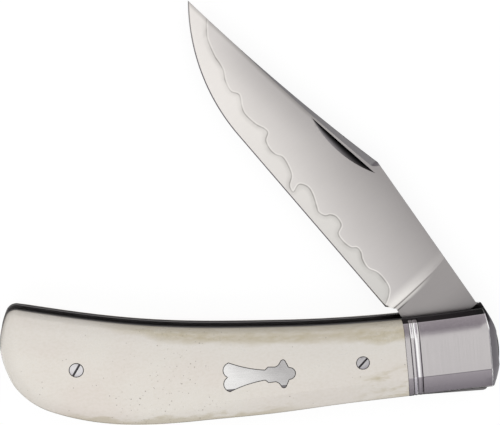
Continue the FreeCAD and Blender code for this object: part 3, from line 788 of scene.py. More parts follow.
@dataclass(frozen=True)
class Steel:
    """Metal with fine lines from its grinding, a soft cloudiness and other tones on marked faces."""

    name: str
    colour: Colour
    roughness: float
    grain_turn: float = 0.0
    grain_depth: float = 0.0012
    cloud: float = 0.2
    streak: float = 0.3
    fine: float = 9.0
    coarse: float = 0.06
    wide_grain: Span = (0.5, 0.22)
    wide_share: float = 0.35
    cloud_grain: Span = (0.11, 0.13)
    rough_share: float = 0.5
    marked: tuple[tuple[str, Colour], ...] = ()

    def lines(self, graph: Graph) -> Signal:
        """Gives the fine grinding lines.

        Args:
            graph: The node tree.

        Returns:
            A value from -0.5 to 0.5, drawn out along the turned X.
        """
        grain = (self.coarse, self.fine)
        wide_grain = (self.coarse * self.wide_grain[0], self.fine * self.wide_grain[1])
        close = graph.drift(grain, self.grain_turn, detail=4.0)
        wide = graph.drift(wide_grain, self.grain_turn, detail=2.0)
        return close * (1.0 - self.wide_share) + wide * self.wide_share

    def base(self, graph: Graph) -> Tint:
        """Gives the colour of the clean metal.

        Args:
            graph: The node tree, to which the colour may add its nodes.

        Returns:
            The colour.
        """
        return self.colour

    def dress(self) -> Material:
        """Makes the material.

        Returns:
            The material.
        """
        graph, material = Graph.of_material(self.name)
        colour = self.base(graph)
        lines = self.lines(graph)
        clouds = graph.drift(self.cloud_grain, self.grain_turn)
        for mark, other in self.marked:
            colour = graph.mix(graph.mark(mark), colour, other)
        uneven = clouds * self.cloud + lines * self.streak
        graph.surface(
            Base_Color=graph.scale(colour, uneven + 1.0),
            Metallic=1.0,
            Roughness=uneven * self.rough_share + self.roughness,
            Normal=graph.bump(lines, self.grain_depth),
        )
        return material


@dataclass(frozen=True)
class BladeSteel(Steel):
    """Ground steel of the blade: a bright core by the edge between duller outer layers.

    The colour of the clean metal is that of the bare ricasso. Pairs of colours are at heel and tip.
    """

    turn: float = 124.0
    # Each pair goes from heel to tip: the lighter tip and the darker back are painted reflection over
    # the layers' own tones
    core: tuple[Colour, Colour] = (tone(210, 208, 204), tone(244, 240, 235))
    outer: tuple[Colour, Colour] = (tone(205, 201, 199), tone(240, 236, 231))
    spine: tuple[Colour, Colour] = (tone(160, 156, 155), tone(206, 202, 200))
    foot: Colour = tone(134, 131, 131)
    # The seam-and-shade tone darkens the core's line and paints shade by the clip and the plunge; the
    # gleam is a painted highlight
    seam: Colour = tone(112, 108, 103)
    gleam: Colour = tone(246, 243, 238)
    # Painted shade: the dark tone of a plunge line and the nick's rear end, and the nick's hollow and
    # rim
    dark: Colour = tone(58, 55, 55)
    hollow: Colour = tone(12, 12, 13)
    hollow_rim: Colour = tone(138, 135, 137)
    foot_span: Span = (3.0, 12.0)
    ahead_span: Span = (18.0, 76.0)
    spine_span: Span = (45.0, 83.0)
    spine_across: Span = (3.6, -9.8)
    point_span: Span = (48.0, 60.0)
    drift_grain: Span = (0.05, 0.05)
    outer_drift: float = 0.2
    core_drift: float = 0.3
    wear_grain: Span = (0.35, 0.35)
    weld_soft: Span = (-0.06, 0.06)
    # Beside the core's line: painted shade, a dark line that is partly the real line, and a painted
    # highlight
    weld_streaks: tuple[Streak, ...] = (
        Streak((0.0, 0.1), (0.1, 1.2), (0.3, 0.7), (0.1, 0.26), seam),
        Streak((-0.11, 0.05), (0.11, 0.27), (0.3, 0.7), (0.22, 0.62), seam),
        Streak((-0.37, -0.21), (-0.17, -0.01), (0.3, 0.7), (0.8, 0.3), gleam),
    )
    # Painted shade along the back of the point, and a darker painted line by its edge
    clip_streaks: tuple[Streak, ...] = (
        Streak((-3.0, -2.0), (0.0, 6.5), (72.0, 84.0), (0.32, 0.0), spine[0]),
        Streak((-3.0, -2.0), (0.0, 0.9), (68.0, 86.0), (0.462, 0.378), seam),
    )
    plunge: float = 17.3
    plunge_radius: float = 2.2
    plunge_lift: float = 0.6989
    plunge_slope: float = 0.0717
    # Painted highlights, and dark lines of painted shade, beside the plunge
    plunge_streaks: tuple[Streak, ...] = (
        Streak((0.0, 0.2), (0.5, 2.6), (-8.0, 4.5), (0.1, 0.8), gleam),
        Streak((-0.95, -0.35), (-0.16, -0.04), (-5.5, 0.5), (0.0, 0.5), gleam),
        Streak((-0.2, -0.04), (0.04, 0.2), (-6.5, -1.0), (0.0, 0.55), seam),
        Streak((-0.99, -0.83), (-0.77, -0.61), (1.0, 4.4), (0.0, 0.8), dark),
    )
    rim_span: Span = (42.0, 51.0)
    hollow_span: Span = (0.0, 0.95)
    hollow_power: float = 2.2

    def layers(self, graph: Graph, along: Signal, across: Signal) -> Tint:
        """Colours the ground faces, with the core's line and the painted shade and highlights beside it
        and the clip.

        Args:
            graph: The node tree.
            along: Place along the blade.
            across: Place across it.

        Returns:
            The colour.
        """
        drift = graph.drift(self.drift_grain, self.grain_turn, detail=2.0)
        ahead = along.ramp(*self.ahead_span)
        spine = graph.mix(along.ramp(*self.spine_span), *self.spine)
        back = across.ramp(*self.spine_across) + drift * self.outer_drift
        outer = graph.mix(back, graph.mix(ahead, *self.outer), spine)
        core = graph.mix(ahead + drift * self.core_drift, *self.core)
        weld, clip = graph.mark("weld"), graph.mark("clip")
        body = graph.mix(weld.over(*self.weld_soft), outer, core)
        # Strength of the painted shade and highlights by the core's line, which drifts at random
        streak_drift = graph.noise(self.wear_grain, detail=2.0)
        for streak in self.weld_streaks:
            body = streak.paint(body, weld, streak_drift)
        # Painted shade along the clip
        for streak in self.clip_streaks:
            body = streak.paint(body, clip, along, along.over(*self.point_span))
        return body

    def ricasso(self, graph: Graph, along: Signal, across: Signal, body: Tint) -> Tint:
        """Adds the bare ricasso and the painted highlights and dark lines, painted shade, of the
        plunge.

        Args:
            graph: The node tree.
            along: Place along the blade.
            across: Place across it.
            body: Colour of the ground faces.

        Returns:
            The colour.
        """
        bare = graph.mix(along.over(*self.foot_span), self.foot, self.colour)
        body = graph.mix(graph.mark("bare"), body, bare)
        lift = across * self.plunge_slope + self.plunge_lift
        start = (lift * (2.0 * self.plunge_radius) - lift**2.0) ** 0.5
        gap = along - self.plunge + start
        for streak in self.plunge_streaks:
            body = streak.paint(body, gap, across)
        return body

    def base(self, graph: Graph) -> Tint:
        """Gives the colour of the clean metal over the whole blade."""
        along, across = graph.along("X", self.turn), graph.along("Y", self.turn)
        body = self.ricasso(graph, along, across, self.layers(graph, along, across))
        # The nick is painted dark, as shade
        deep = 1.0 - graph.mark("hollow").under(*self.hollow_span) ** self.hollow_power
        rim = graph.mix(along.over(*self.rim_span), self.dark, self.hollow_rim)
        return graph.mix(graph.mark("nick"), body, graph.mix(deep, rim, self.hollow))


@dataclass(frozen=True)
class ShadedSteel(Steel):
    """Steel of another tone from some place along the handle on."""

    shaded: Colour = tone(58, 56, 57)
    shade_span: Span = (-18.0, -11.0)

    def base(self, graph: Graph) -> Tint:
        """Gives the colour of the clean metal along the handle."""
        return graph.mix(graph.along("X").over(*self.shade_span), self.colour, self.shaded)


@dataclass(frozen=True)
class ShieldSteel(Steel):
    """Polished metal of the shield: a painted reflection brightens its wide end, and painted shade
    darkens it below the crease of the back facet.
    """

    bright: Colour = tone(234, 233, 231)
    dull: Colour = tone(124, 121, 123)
    bright_from: float = -36.0
    bright_slope: Span = (-0.085, -0.05)
    bright_drift: float = 0.7
    drift_grain: Span = (0.16, 0.3)
    dip_slope: float = 0.0398
    dip_span: Span = (-3.63, -3.55)

    def base(self, graph: Graph) -> Tint:
        """Gives the colour of the clean metal along the shield."""
        along, across = graph.along("X"), graph.along("Y")
        drift = graph.drift(self.drift_grain, self.grain_turn, detail=2.0)
        # Painted reflection: brighter towards the shield's wide end
        place = (along - self.bright_from) * self.bright_slope[0] + across * self.bright_slope[1]
        body = graph.mix(place + drift * self.bright_drift, self.colour, self.bright)
        # Painted shade below the line of the back facet's crease
        return graph.mix((along * self.dip_slope + across).under(*self.dip_span), body, self.dull)


@dataclass(frozen=True)
class Bone:
    """Smooth polished bone: clouded, stained along its edges and pitted by fine pores.

    Spans that end in along or across are places on the handle, and grains are steps per millimetre.
    """

    name: str = "polished_bone"
    line: HandleLine = HandleLine()
    pale: Colour = tone(225, 220, 212)
    warm: Colour = tone(222, 214, 206)
    shaded: Colour = tone(209, 205, 199)
    stain: Colour = tone(178, 167, 138)
    pore: Colour = tone(120, 112, 102)
    rim: Colour = tone(128, 121, 108)
    # Painted shade at the foot of the wall, where the bone meets the liner
    seam: Colour = tone(72, 66, 60)
    roughness: float = 0.3
    rough_clouds: float = 0.06
    rough_pores: float = 0.25
    rough_speckle: float = 0.12
    refraction: float = 1.54
    cloud_grain: Span = (0.07, 0.1)
    cloud_span: Span = (0.3, 0.7)
    speckle_grain: Span = (1.4, 1.9)
    speckle_span: Span = (0.4, 2.9)
    shade_along: Span = (-84.0, -14.0)
    shade_below: Span = (3.0, 11.0)
    shade_shares: Span = (0.42, 0.34)
    blotch_grain: Span = (0.16, 0.4)
    fine_grain: Span = (0.45, 1.4)
    ragged: Span = (4.0, 2.0)
    top_reaches: tuple[tuple[float, Span], ...] = ((2.4, (-80.0, -56.0)), (1.1, (-28.0, -14.0)))
    top_ragged: float = 0.5
    top_fade: Span = (-0.6, 0.8)
    top_along: Span = (-78.0, -62.0)
    top_edge: Span = (0.2, 1.6)
    top_edge_share: float = 0.7
    top_share: float = 0.62
    top_fine: float = 1.1
    front_over_back: float = 3.4
    front_fade: Span = (1.4, 4.8)
    front_along: Span = (-25.0, -16.0)
    front_ragged: Span = (-0.5, 0.8)
    front_share: float = 0.85
    low_ragged: float = 1.3
    low_fade: Span = (0.7, 2.2)
    low_across: Span = (-5.0, -2.0)
    low_along: Span = (-44.0, -28.0)
    low_share: float = 0.5
    pore_grain: Span = (1.3, 1.5)
    pore_rise_along: Span = (-82.0, -70.0)
    pore_fall_along: Span = (-58.0, -44.0)
    pore_chances: Span = (0.13, 1.08)
    pore_rare: Span = (1.0, 1.06)
    pore_sizes: Span = (0.05, 0.17)
    pore_edge: Span = (-0.04, 0.08)
    pore_share: float = 0.62
    pore_depth: float = 0.01
    cluster_grain: Span = (0.09, 0.14)
    cluster_span: Span = (0.34, 0.62)
    soft_rim: Span = (0.0, 0.8)
    soft_rim_share: float = 0.08
    dark_rim: Span = (0.03, 0.3)
    dark_rim_share: float = 0.6
    clean_across: Span = (-2.0, 2.0)
    clean_along: Span = (-92.0, -88.0)
    seam_share: float = 0.85

    def below_top(self, along: Signal, across: Signal) -> Signal:
        """Gives the distance below the arc of the handle's top."""
        rise = (along - self.line.top_low_x) ** 2.0 * (0.5 / self.line.top_radius)
        return rise + self.line.top_low - across

    def stained(self, graph: Graph, along: Signal, across: Signal) -> Signal:
        """Gives the blotched stain along the top, at the front and along the back.

        Args:
            graph: The node tree.
            along: Place along the handle.
            across: Place across it.

        Returns:
            The share of the stain.
        """
        fine = graph.drift(self.fine_grain, detail=5.0)
        blotch = graph.drift(self.blotch_grain, detail=6.0)
        ragged = blotch * self.ragged[0] + fine * self.ragged[1]
        below = self.below_top(along, across)
        edge = below + ragged * self.top_ragged
        for reach, span in self.top_reaches:
            edge = edge - along.over(*span) * reach
        top = edge.under(*self.top_fade) * along.over(*self.top_along)
        top = top * below.over(*self.top_edge).between(self.top_edge_share, 1.0)
        front = abs(across - self.line.back - self.front_over_back).under(*self.front_fade)
        front = front * along.over(*self.front_along) * ragged.over(*self.front_ragged)
        low = (graph.mark("inset") + ragged * self.low_ragged).under(*self.low_fade)
        low = low * across.under(*self.low_across) * along.under(*self.low_along)
        top = top * (fine * self.top_fine + self.top_share)
        return top + front * self.front_share + low * self.low_share

    def pores(self, graph: Graph, along: Signal) -> Signal:
        """Gives the fine pores, which are closest in the rear half.

        Args:
            graph: The node tree.
            along: Place along the handle.

        Returns:
            One in a pore and 0 outside.
        """
        inputs = {"Vector": graph.place(self.pore_grain), "Scale": 1.0}
        cells = graph.add("ShaderNodeTexVoronoi", inputs, feature="F1").outputs
        draws = graph.add("ShaderNodeSeparateColor", {0: cells["Color"]}).outputs
        zone = along.over(*self.pore_rise_along) * along.under(*self.pore_fall_along)
        cluster = graph.noise(self.cluster_grain).over(*self.cluster_span)
        chance = Signal(graph, draws[0]) + cluster * zone.between(*self.pore_chances)
        size = Signal(graph, draws[1]).between(*self.pore_sizes)
        hole = (Signal(graph, cells["Distance"]) - size).under(*self.pore_edge)
        return hole * chance.over(*self.pore_rare)

    def dress(self) -> Material:
        """Makes the material.

        Returns:
            The material.
        """
        graph, material = Graph.of_material(self.name)
        along, across, inset = graph.along("X"), graph.along("Y"), graph.mark("inset")
        clouds = graph.noise(self.cloud_grain).over(*self.cloud_span)
        speckle = graph.noise(self.speckle_grain, detail=5.0)
        pores = self.pores(graph, along)
        shade = along.over(*self.shade_along) * self.shade_shares[0]
        shade = shade + self.below_top(along, across).under(*self.shade_below) * self.shade_shares[1]
        # Darker within a short distance of the edge, more so along the lower half and round the butt
        outer = 1.0 - across.over(*self.clean_across) * along.over(*self.clean_along)
        rim = inset.under(*self.dark_rim) * outer * self.dark_rim_share
        rim = rim + inset.under(*self.soft_rim) * self.soft_rim_share
        body = graph.mix(clouds, self.pale, self.warm)
        for share, colour in (
            (shade, self.shaded),
            (speckle.ramp(*self.speckle_span), self.stain),
            (self.stained(graph, along, across), self.stain),
            (rim, self.rim),
            (graph.mark("seam") * self.seam_share, self.seam),
            (pores * self.pore_share, self.pore),
        ):
            body = graph.mix(share, body, colour)
        rough = (clouds - 0.5) * self.rough_clouds + (speckle - 0.5) * self.rough_speckle
        graph.surface(
            Base_Color=body,
            Roughness=rough + pores * self.rough_pores + self.roughness,
            Normal=graph.bump(pores * -1.0, self.pore_depth),
            IOR=self.refraction,
            Metallic=0.0,
        )
        return material


class Finishes:
    """The materials of the knife, made once each."""

    def __init__(self) -> None:
        """Makes every material."""
        self.blade = BladeSteel(
            "ground_blade_steel", tone(158, 154, 153), 0.3, 214.0, 0.0001,
            cloud=0.03, streak=0.05, fine=1.5, coarse=0.3,
            # The swedge and the facet along the edge are painted darker, as reflection
            marked=(("swedge", tone(136, 134, 135)), ("keen", tone(156, 153, 152))),
        ).dress()
        self.bolster = Steel(
            "brushed_bolster_steel", tone(194, 190, 190), 0.22, 90.0, 0.002, cloud=0.1, streak=0.24,
            # Painted light on the bolster: highlights on the beads, the shoulder and the edge of the
            # bevel, and shade on the bevel, along the crease, in the grooves and on the walls
            marked=(
                ("bead", tone(252, 251, 250)),
                ("bevel", tone(93, 89, 95)),
                ("gleam", tone(252, 251, 250)),
                ("crease", tone(146, 142, 144)),
                ("groove", tone(106, 103, 106)),
                ("wall", tone(70, 68, 69)),
            ),
        ).dress()
        self.liner = ShadedSteel("dark_liner_steel", tone(138, 135, 135), 0.32).dress()
        self.spring = Steel("spring_steel", tone(112, 110, 110), 0.34).dress()
        self.shield = ShieldSteel(
            "nickel_silver", tone(186, 184, 183), 0.26, grain_turn=-3.0, fine=5.0, cloud=0.1,
            # The shield's bevel and wall are painted dark, as shade in the gap round it
            marked=(("rim", tone(62, 60, 61)),),
        ).dress()
        self.screw = ShadedSteel(
            "turned_screw_steel", tone(222, 220, 221), 0.25, grain_turn=40.0,
            # The slots and the sides of the heads are painted dark, as shade in the slot and in the gap
            # round the head
            marked=(("slot", tone(80, 78, 80)),), shaded=tone(188, 186, 187), shade_span=(-50.0, -40.0),
        ).dress()
        self.pin = Steel("pin_steel", tone(178, 176, 174), 0.28).dress()
        self.washer = Steel("washer_brass", tone(206, 172, 104), 0.34, grain_turn=45.0).dress()
        self.bone = Bone().dress()


class Piece(ABC):
    """A piece of the knife that is modelled anew."""

    @abstractmethod
    def build(self, finishes: Finishes) -> Object:
        """Makes the piece.

        Args:
            finishes: The materials.

        Returns:
            The piece, in the frame of the part.
        """


@dataclass(frozen=True)
class Crown:
    """Section of a scale or bolster: flat in the middle, rounded on top, and flatter by the back.

    The last stretch before the wall rolls over, and the wall leans in from the liner. Pairs are the
    values of the upper and the lower side.
    """

    thickness: float = 3.5
    width: float = 4.0
    facet_width: float = 4.35
    drop: float = 1.62
    facet_slope: float = 0.27
    roll_width: Span = (0.95, 0.5)
    roll_fall: Span = (1.0, 0.3)
    roll_power: float = 2.2
    wall_lean: Span = (0.22, 0.04)
    least: float = 0.3
    wall_shares: tuple[float, ...] = (0.35, 0.7)
    roll_shares: tuple[float, ...] = (0.0, 0.07, 0.16, 0.28, 0.42, 0.58, 0.78, 1.0)
    face_shares: tuple[float, ...] = (0.4, 0.5, 0.6, 0.7, 0.8, 0.9, 0.96, 1.0)

    @property
    def radius(self) -> float:
        """Radius of the rounded shoulder."""
        return (self.width**2 + self.drop**2) / (2 * self.drop)

    @staticmethod
    def between(pair: Span, share: Number) -> Array:
        """Gives the value between the upper and the lower side."""
        return pair[0] + (pair[1] - pair[0]) * np.asarray(share, dtype=float)

    def lean(self, full: Number) -> Array:
        """Gives how far the top of the wall is inside its foot."""
        return self.between(self.wall_lean, full)

    def height(self, inset: Number, facet: Number, full: Number, gap: Optional[Number] = None) -> Array:
        """Gives the height over the inner face at a distance from the edge.

        Args:
            inset: Distance inside the line that the shoulder follows, below zero outside it.
            facet: Share of the flat facet in place of the rounded shoulder.
            full: Share of the fuller lower edge in place of the rolled upper one.
            gap: Distance inside the outline, where that is another line.

        Returns:
            The height.
        """
        across = np.clip(self.width - np.asarray(inset, dtype=float), 0.0, None)
        rounded = self.radius - np.sqrt(np.clip(self.radius**2 - across**2, 0.0, None))
        across = np.clip(self.facet_width - np.asarray(inset, dtype=float), 0.0, None)
        curve = (self.drop - self.facet_slope * self.facet_width) / self.facet_width**2
        flat = self.facet_slope * across + curve * across**2
        width = self.between(self.roll_width, full)
        roll = np.clip((width - (inset if gap is None else gap)) / width, 0.0, None) ** self.roll_power
        fall = self.between(self.roll_fall, full) * roll
        return np.maximum(self.thickness - (rounded * (1 - facet) + flat * facet) - fall, self.least)

    def insets(self, facet: Number, full: Number) -> list[Array]:
        """Gives the distances from the edge at which the section has points, from the wall inwards.

        Args:
            facet: Share of the flat facet in place of the rounded shoulder.
            full: Share of the fuller lower edge in place of the rolled upper one.

        Returns:
            One distance for each row of points.
        """
        lean, roll = self.lean(full), self.between(self.roll_width, full)
        face = self.between((self.width, self.facet_width), facet)
        rolled = [lean + (roll - lean) * share for share in self.roll_shares]
        return rolled + [face * share for share in self.face_shares]


@dataclass
class Screws(Piece):
    """The slotted screws of the scales, placed by a node tree.

    A place is x, y, the turn of the slot in degrees and the size of the head beside the pattern's.
    """

    stack: Stack
    places: tuple[Row, ...] = (
        (-20.74, 0.56, 43.0, 0.93),
        (-78.3, 6.03, 54.0, 1.0),
    )
    head_radius: float = 1.46
    head_height: float = 1.1
    chamfer: float = 0.12
    chamfer_round: Span = (0.3, 0.35)
    slot_width: float = 0.44
    slot_depth: float = 0.5
    shank_radius: float = 0.8
    length: float = 4.5
    seat_gap: float = 0.05
    segments: int = 56

    def seats(self) -> list[Flat]:
        """Gives the mouths of the holes for the heads."""
        radius = self.head_radius + self.seat_gap
        return [circle_points((x, y), radius * size, self.segments) for x, y, _, size in self.places]

    def half_top(self, radius: float) -> Flat:
        """Gives one half of the head beside the slot, out to a radius."""
        turn = math.asin(self.slot_width / 2 / radius)
        return arc_points((0.0, 0.0), radius, turn, math.pi - turn, self.segments // 2)

    def pattern(self, material: Material) -> Object:
        """Makes one screw with the top of its head at the origin.

        Args:
            material: Finish of the screw.

        Returns:
            The screw, which the node tree repeats.
        """
        shell = Shell()
        rim = self.head_radius
        profile = (
            (rim - self.chamfer, 0.0),
            (rim - self.chamfer * self.chamfer_round[0], -self.chamfer * self.chamfer_round[1]),
            (rim, -self.chamfer),
            (rim, -self.slot_depth),
        )
        for flip in (1.0, -1.0):
            since = len(shell.faces)
            levels = [(self.half_top(radius) * flip, z) for radius, z in profile]
            rows = shell.wall(levels, closed=False)
            shell.cap(rows)
            # The slot is marked for painted shade
            shell.area(since, slot=1.0)
            shell.faces.append(rows[0])
        head = circle_points((0.0, 0.0), rim, self.segments)
        shank = head * (self.shank_radius / rim)
        depths = ((head, self.slot_depth), (head, self.head_height), (shank, self.head_height))
        since = len(shell.faces)
        rows = shell.wall([(line, -depth) for line, depth in (*depths, (shank, self.length))])
        shell.faces += [rows[0], rows[-1]]
        # The side of the head, in the gap round it, is marked for painted shade
        shell.area(since, slot=1.0)
        return shell.build("screw_pattern", material)

    def tree(self) -> NodeTree:
        """Builds the node tree that sets a screw on each point and turns it by the point's marks.

        Returns:
            The tree, with the screw and its finish as inputs.
        """
        tree = bpy.data.node_groups.new("set_screws", "GeometryNodeTree")
        for name, way, kind in (
            ("Geometry", "INPUT", "NodeSocketGeometry"),
            ("Screw", "INPUT", "NodeSocketObject"),
            ("Finish", "INPUT", "NodeSocketMaterial"),
            ("Geometry", "OUTPUT", "NodeSocketGeometry"),
        ):
            tree.interface.new_socket(name, in_out=way, socket_type=kind)
        graph = Graph(tree)

        def point_mark(name: str) -> NodeSocket:
            """Reads three values of each point."""
            kind = "GeometryNodeInputNamedAttribute"
            return graph.add(kind, {"Name": name}, data_type="FLOAT_VECTOR").outputs["Attribute"]

        source = graph.add("NodeGroupInput").outputs
        screw = graph.add(
            "GeometryNodeObjectInfo",
            {"Object": source["Screw"], "As Instance": True},
            transform_space="ORIGINAL",
        )
        turn = graph.add("FunctionNodeEulerToRotation", {0: point_mark("turn")})
        placed = graph.add(
            "GeometryNodeInstanceOnPoints",
            {
                "Points": source["Geometry"],
                "Instance": screw.outputs["Geometry"],
                "Rotation": turn.outputs[0],
                "Scale": point_mark("size"),
            },
        )
        real = graph.add("GeometryNodeRealizeInstances", {"Geometry": placed.outputs["Instances"]})
        inputs = {"Geometry": real.outputs["Geometry"], "Material": source["Finish"]}
        finish = graph.add("GeometryNodeSetMaterial", inputs)
        graph.add("NodeGroupOutput", {"Geometry": finish.outputs["Geometry"]})
        return tree

    def build(self, finishes: Finishes) -> Object:
        """Makes all four screws as one piece."""
        pattern, tree = self.pattern(finishes.screw), self.tree()
        spots, turns, sizes = [], [], []
        for side in Side:
            z = self.stack.over(side, self.stack.scale)
            flip = 0.0 if side is Side.NEAR else math.pi
            for x, y, angle, size in self.places:
                spots.append((x * MM, y * MM, z * MM))
                turns += [flip, 0.0, math.radians(angle)]
                sizes += [size, size, 1.0]
        points = bpy.data.meshes.new("screw_places")
        points.from_pydata(spots, [], [])
        for name, values in (("turn", turns), ("size", sizes)):
            points.attributes.new(name, "FLOAT_VECTOR", "POINT").data.foreach_set("vector", values)
        piece = put("scale_screws", points)
        modifier = piece.modifiers.new("set_screws", "NODES")
        modifier.node_group = tree
        named = {s.name: s.identifier for s in tree.interface.items_tree if s.in_out == "INPUT"}
        modifier[named["Screw"]] = pattern
        modifier[named["Finish"]] = finishes.screw
        plain(piece)
        bpy.data.objects.remove(pattern)
        return piece


@dataclass
class Shield(Piece):
    """The inlaid shield of the near scale, with its bevelled rim.

    The shares are corners of its upper half beside half its length and height, each with the bend of
    the line to the next beside half the length.
    """

    stack: Stack
    length: float = 14.5
    height: float = 6.2
    thickness: float = 0.7
    gap: float = 0.05
    place: Span = (-41.75, 0.5)
    turn: float = -3.1
    bevel: float = 0.11
    bevel_drop: float = 0.06
    bevel_round: Span = (0.45, 0.3)
    steps: int = 14
    crease: float = 28.0
    shares: tuple[tuple[float, float, Optional[float]], ...] = (
        (-0.905, 0.0, -0.23),
        (-0.85, 0.99, 3.3),
        (0.145, 0.35, None),
        (0.235, 0.54, None),
        (0.42, 0.51, 0.2),
        (0.54, 0.67, None),
        (0.597, 0.89, -0.075),
        (0.718, 0.9, None),
        (0.795, 0.52, 0.05),
        (0.84, 0.41, -0.176),
    )

    def outline(self, grow: float) -> Flat:
        """Gives the outline, grown by a distance.

        Args:
            grow: How far outside the shield's own edge the line runs.

        Returns:
            The closed loop in the frame of the part.
        """
        half = np.array([self.length, self.height]) / 2
        upper = [half * (x, y) for x, y, _ in self.shares]
        places = upper + [place * (1, -1) for place in upper[:0:-1]]
        bends = [None if bend is None else bend * half[0] for _, _, bend in self.shares]
        bends += bends[-2::-1]
        ends = places[1:] + places[:1]
        parts = [bend_points(*part, self.steps) for part in zip(places, ends, bends)]
        line = spun(np.vstack(parts), self.turn) + self.place
        ahead = np.roll(line, -1, axis=0) - np.roll(line, 1, axis=0)
        return line + left_of(ahead) * grow

    def build(self, finishes: Finishes) -> Object:
        """Makes the shield."""
        shell = Shell()
        top = self.stack.over(Side.NEAR, self.stack.scale)
        profile = (
            (self.bevel, 0.0),
            (self.bevel * self.bevel_round[0], self.bevel_drop * self.bevel_round[1]),
            (0.0, self.bevel_drop),
            (0.0, self.thickness),
        )
        rows = shell.wall([(self.outline(-inset), top - drop) for inset, drop in profile])
        # The bevel and the wall are marked for painted shade in the gap round the shield
        shell.area(0, rim=1.0)
        shell.sheet(self.outline(-self.bevel), [], lambda p: top)
        shell.faces.append(rows[-1])
        return shell.build("shield_inlay", finishes.shield, self.crease)


@dataclass
class Scale(Piece):
    """One bone scale with its rounded edges and the seats of its screws and shield."""

    side: Side
    stack: Stack
    line: HandleLine
    crown: Crown
    screws: Screws
    shield: Optional[Shield]
    front: float = -11.85
    corner: float = 2.2
    crown_corner: float = 4.6
    corner_span: Span = (0.3, 2.0)
    foot: float = 0.04
    facet_below: float = 2.0
    facet_span: Span = (-66.0, -30.0)
    full_span: Span = (3.0, 7.0)
    # Share of the wall's height, from its foot, that is painted with shade
    seam_share: float = 0.4
    crease: float = 24.0

    def facet(self, rim: Flat) -> Array:
        """Gives how much of the flat facet a place on the rim has: all of it along the back."""
        return np.where(rim[:, 1] < self.facet_below, eased(rim[:, 0], *self.facet_span), 0.0)

    def full(self, rim: Flat) -> Array:
        """Gives how much of the fuller lower edge a place on the rim has."""
        return 1.0 - eased(rim[:, 1], *self.full_span)

    def shoulder_inset(self, inset: Array) -> Array:
        """Gives how far points are inside the line that the shoulder follows, with its larger corner.

        Args:
            inset: How far they are inside the outline.

        Returns:
            One distance for each point of the rim.
        """
        centre = self.line.corner_centre(self.crown_corner)
        away = self.rim(inset) - centre
        turn = np.arctan2(away[:, 1], away[:, 0])
        first, last = heading(self.line.top - centre), heading(centre - np.array(self.line.butt))
        round_inset = self.crown_corner - np.hypot(away[:, 0], away[:, 1])
        return np.where((turn > first) & (turn < last), np.minimum(round_inset, inset), inset)

    def rim(self, inset: Array) -> Flat:
        """Gives the line at a distance inside the outline, with a wider corner further in.

        Args:
            inset: The distance, one for all points or one for each.

        Returns:
            One row of x and y for each point.
        """
        wider = self.crown_corner - self.corner
        corner = self.corner + wider * float(eased(np.max(inset), *self.corner_span))
        outer, inner = (self.line.rim(corner, gap, self.front, self.front) for gap in (0.0, 1.0))
        return outer + (inner - outer) * np.broadcast_to(inset, (len(outer),))[:, None]

    def rows(self, shell: Shell) -> tuple[list[list[int]], Flat]:
        """Adds the rows from the inner face over the edge to the flat of the crown.

        Args:
            shell: The mesh.

        Returns:
            The numbers of each row, and the line of the last row.
        """
        outer = self.rim(np.zeros(1))
        facet, full = self.facet(outer), self.full(outer)
        lean, flush = self.crown.lean(full), np.zeros(len(outer))

        def height(inset: Array) -> Array:
            """Gives the height of the crown at a distance inside the outline."""
            return self.crown.height(self.shoulder_inset(inset), facet, full, inset)

        top = height(lean)
        levels = [(flush + self.foot, flush), (flush, flush + self.foot)]
        levels += [(lean * share, top * share) for share in self.crown.wall_shares]
        levels += [(inset, height(inset)) for inset in self.crown.insets(facet, full)]
        rows = []
        for inset, level in levels:
            line, z = self.rim(inset), self.stack.over(self.side, level)
            # The foot of the wall is marked for painted shade where the bone meets the liner
            seam = np.clip(1.0 - level / (top * self.seam_share), 0.0, 1.0)
            rows.append(shell.add(line, z, inset=inset, seam=seam))
        shell.rows(rows)
        return rows, line

    def sink(self, shell: Shell, mouth: Flat, depth: float) -> None:
        """Adds the wall and floor of a seat below the flat, by its outline and depth."""
        heights = (self.crown.thickness, self.crown.thickness - depth)
        levels = [(mouth, self.stack.over(self.side, height)) for height in heights]
        shell.faces.append(shell.wall(levels, inset=self.crown.width)[1])

    def build(self, finishes: Finishes) -> Object:
        """Makes the scale."""
        shell = Shell()
        rows, flat = self.rows(shell)
        holes = self.screws.seats()
        for mouth in holes:
            self.sink(shell, mouth, self.screws.head_height)
        if self.shield is not None:
            pocket = self.shield.outline(self.shield.gap)
            self.sink(shell, pocket, self.shield.thickness)
            holes.append(pocket)
        top = self.stack.over(self.side, self.crown.thickness)
        shell.sheet(flat, holes, lambda p: top, inset=lambda p: self.crown.width)
        shell.faces.append(rows[0])
        shell.cap(rows)
        return shell.build(f"{self.side.word}_bone_scale", finishes.bone, self.crease)


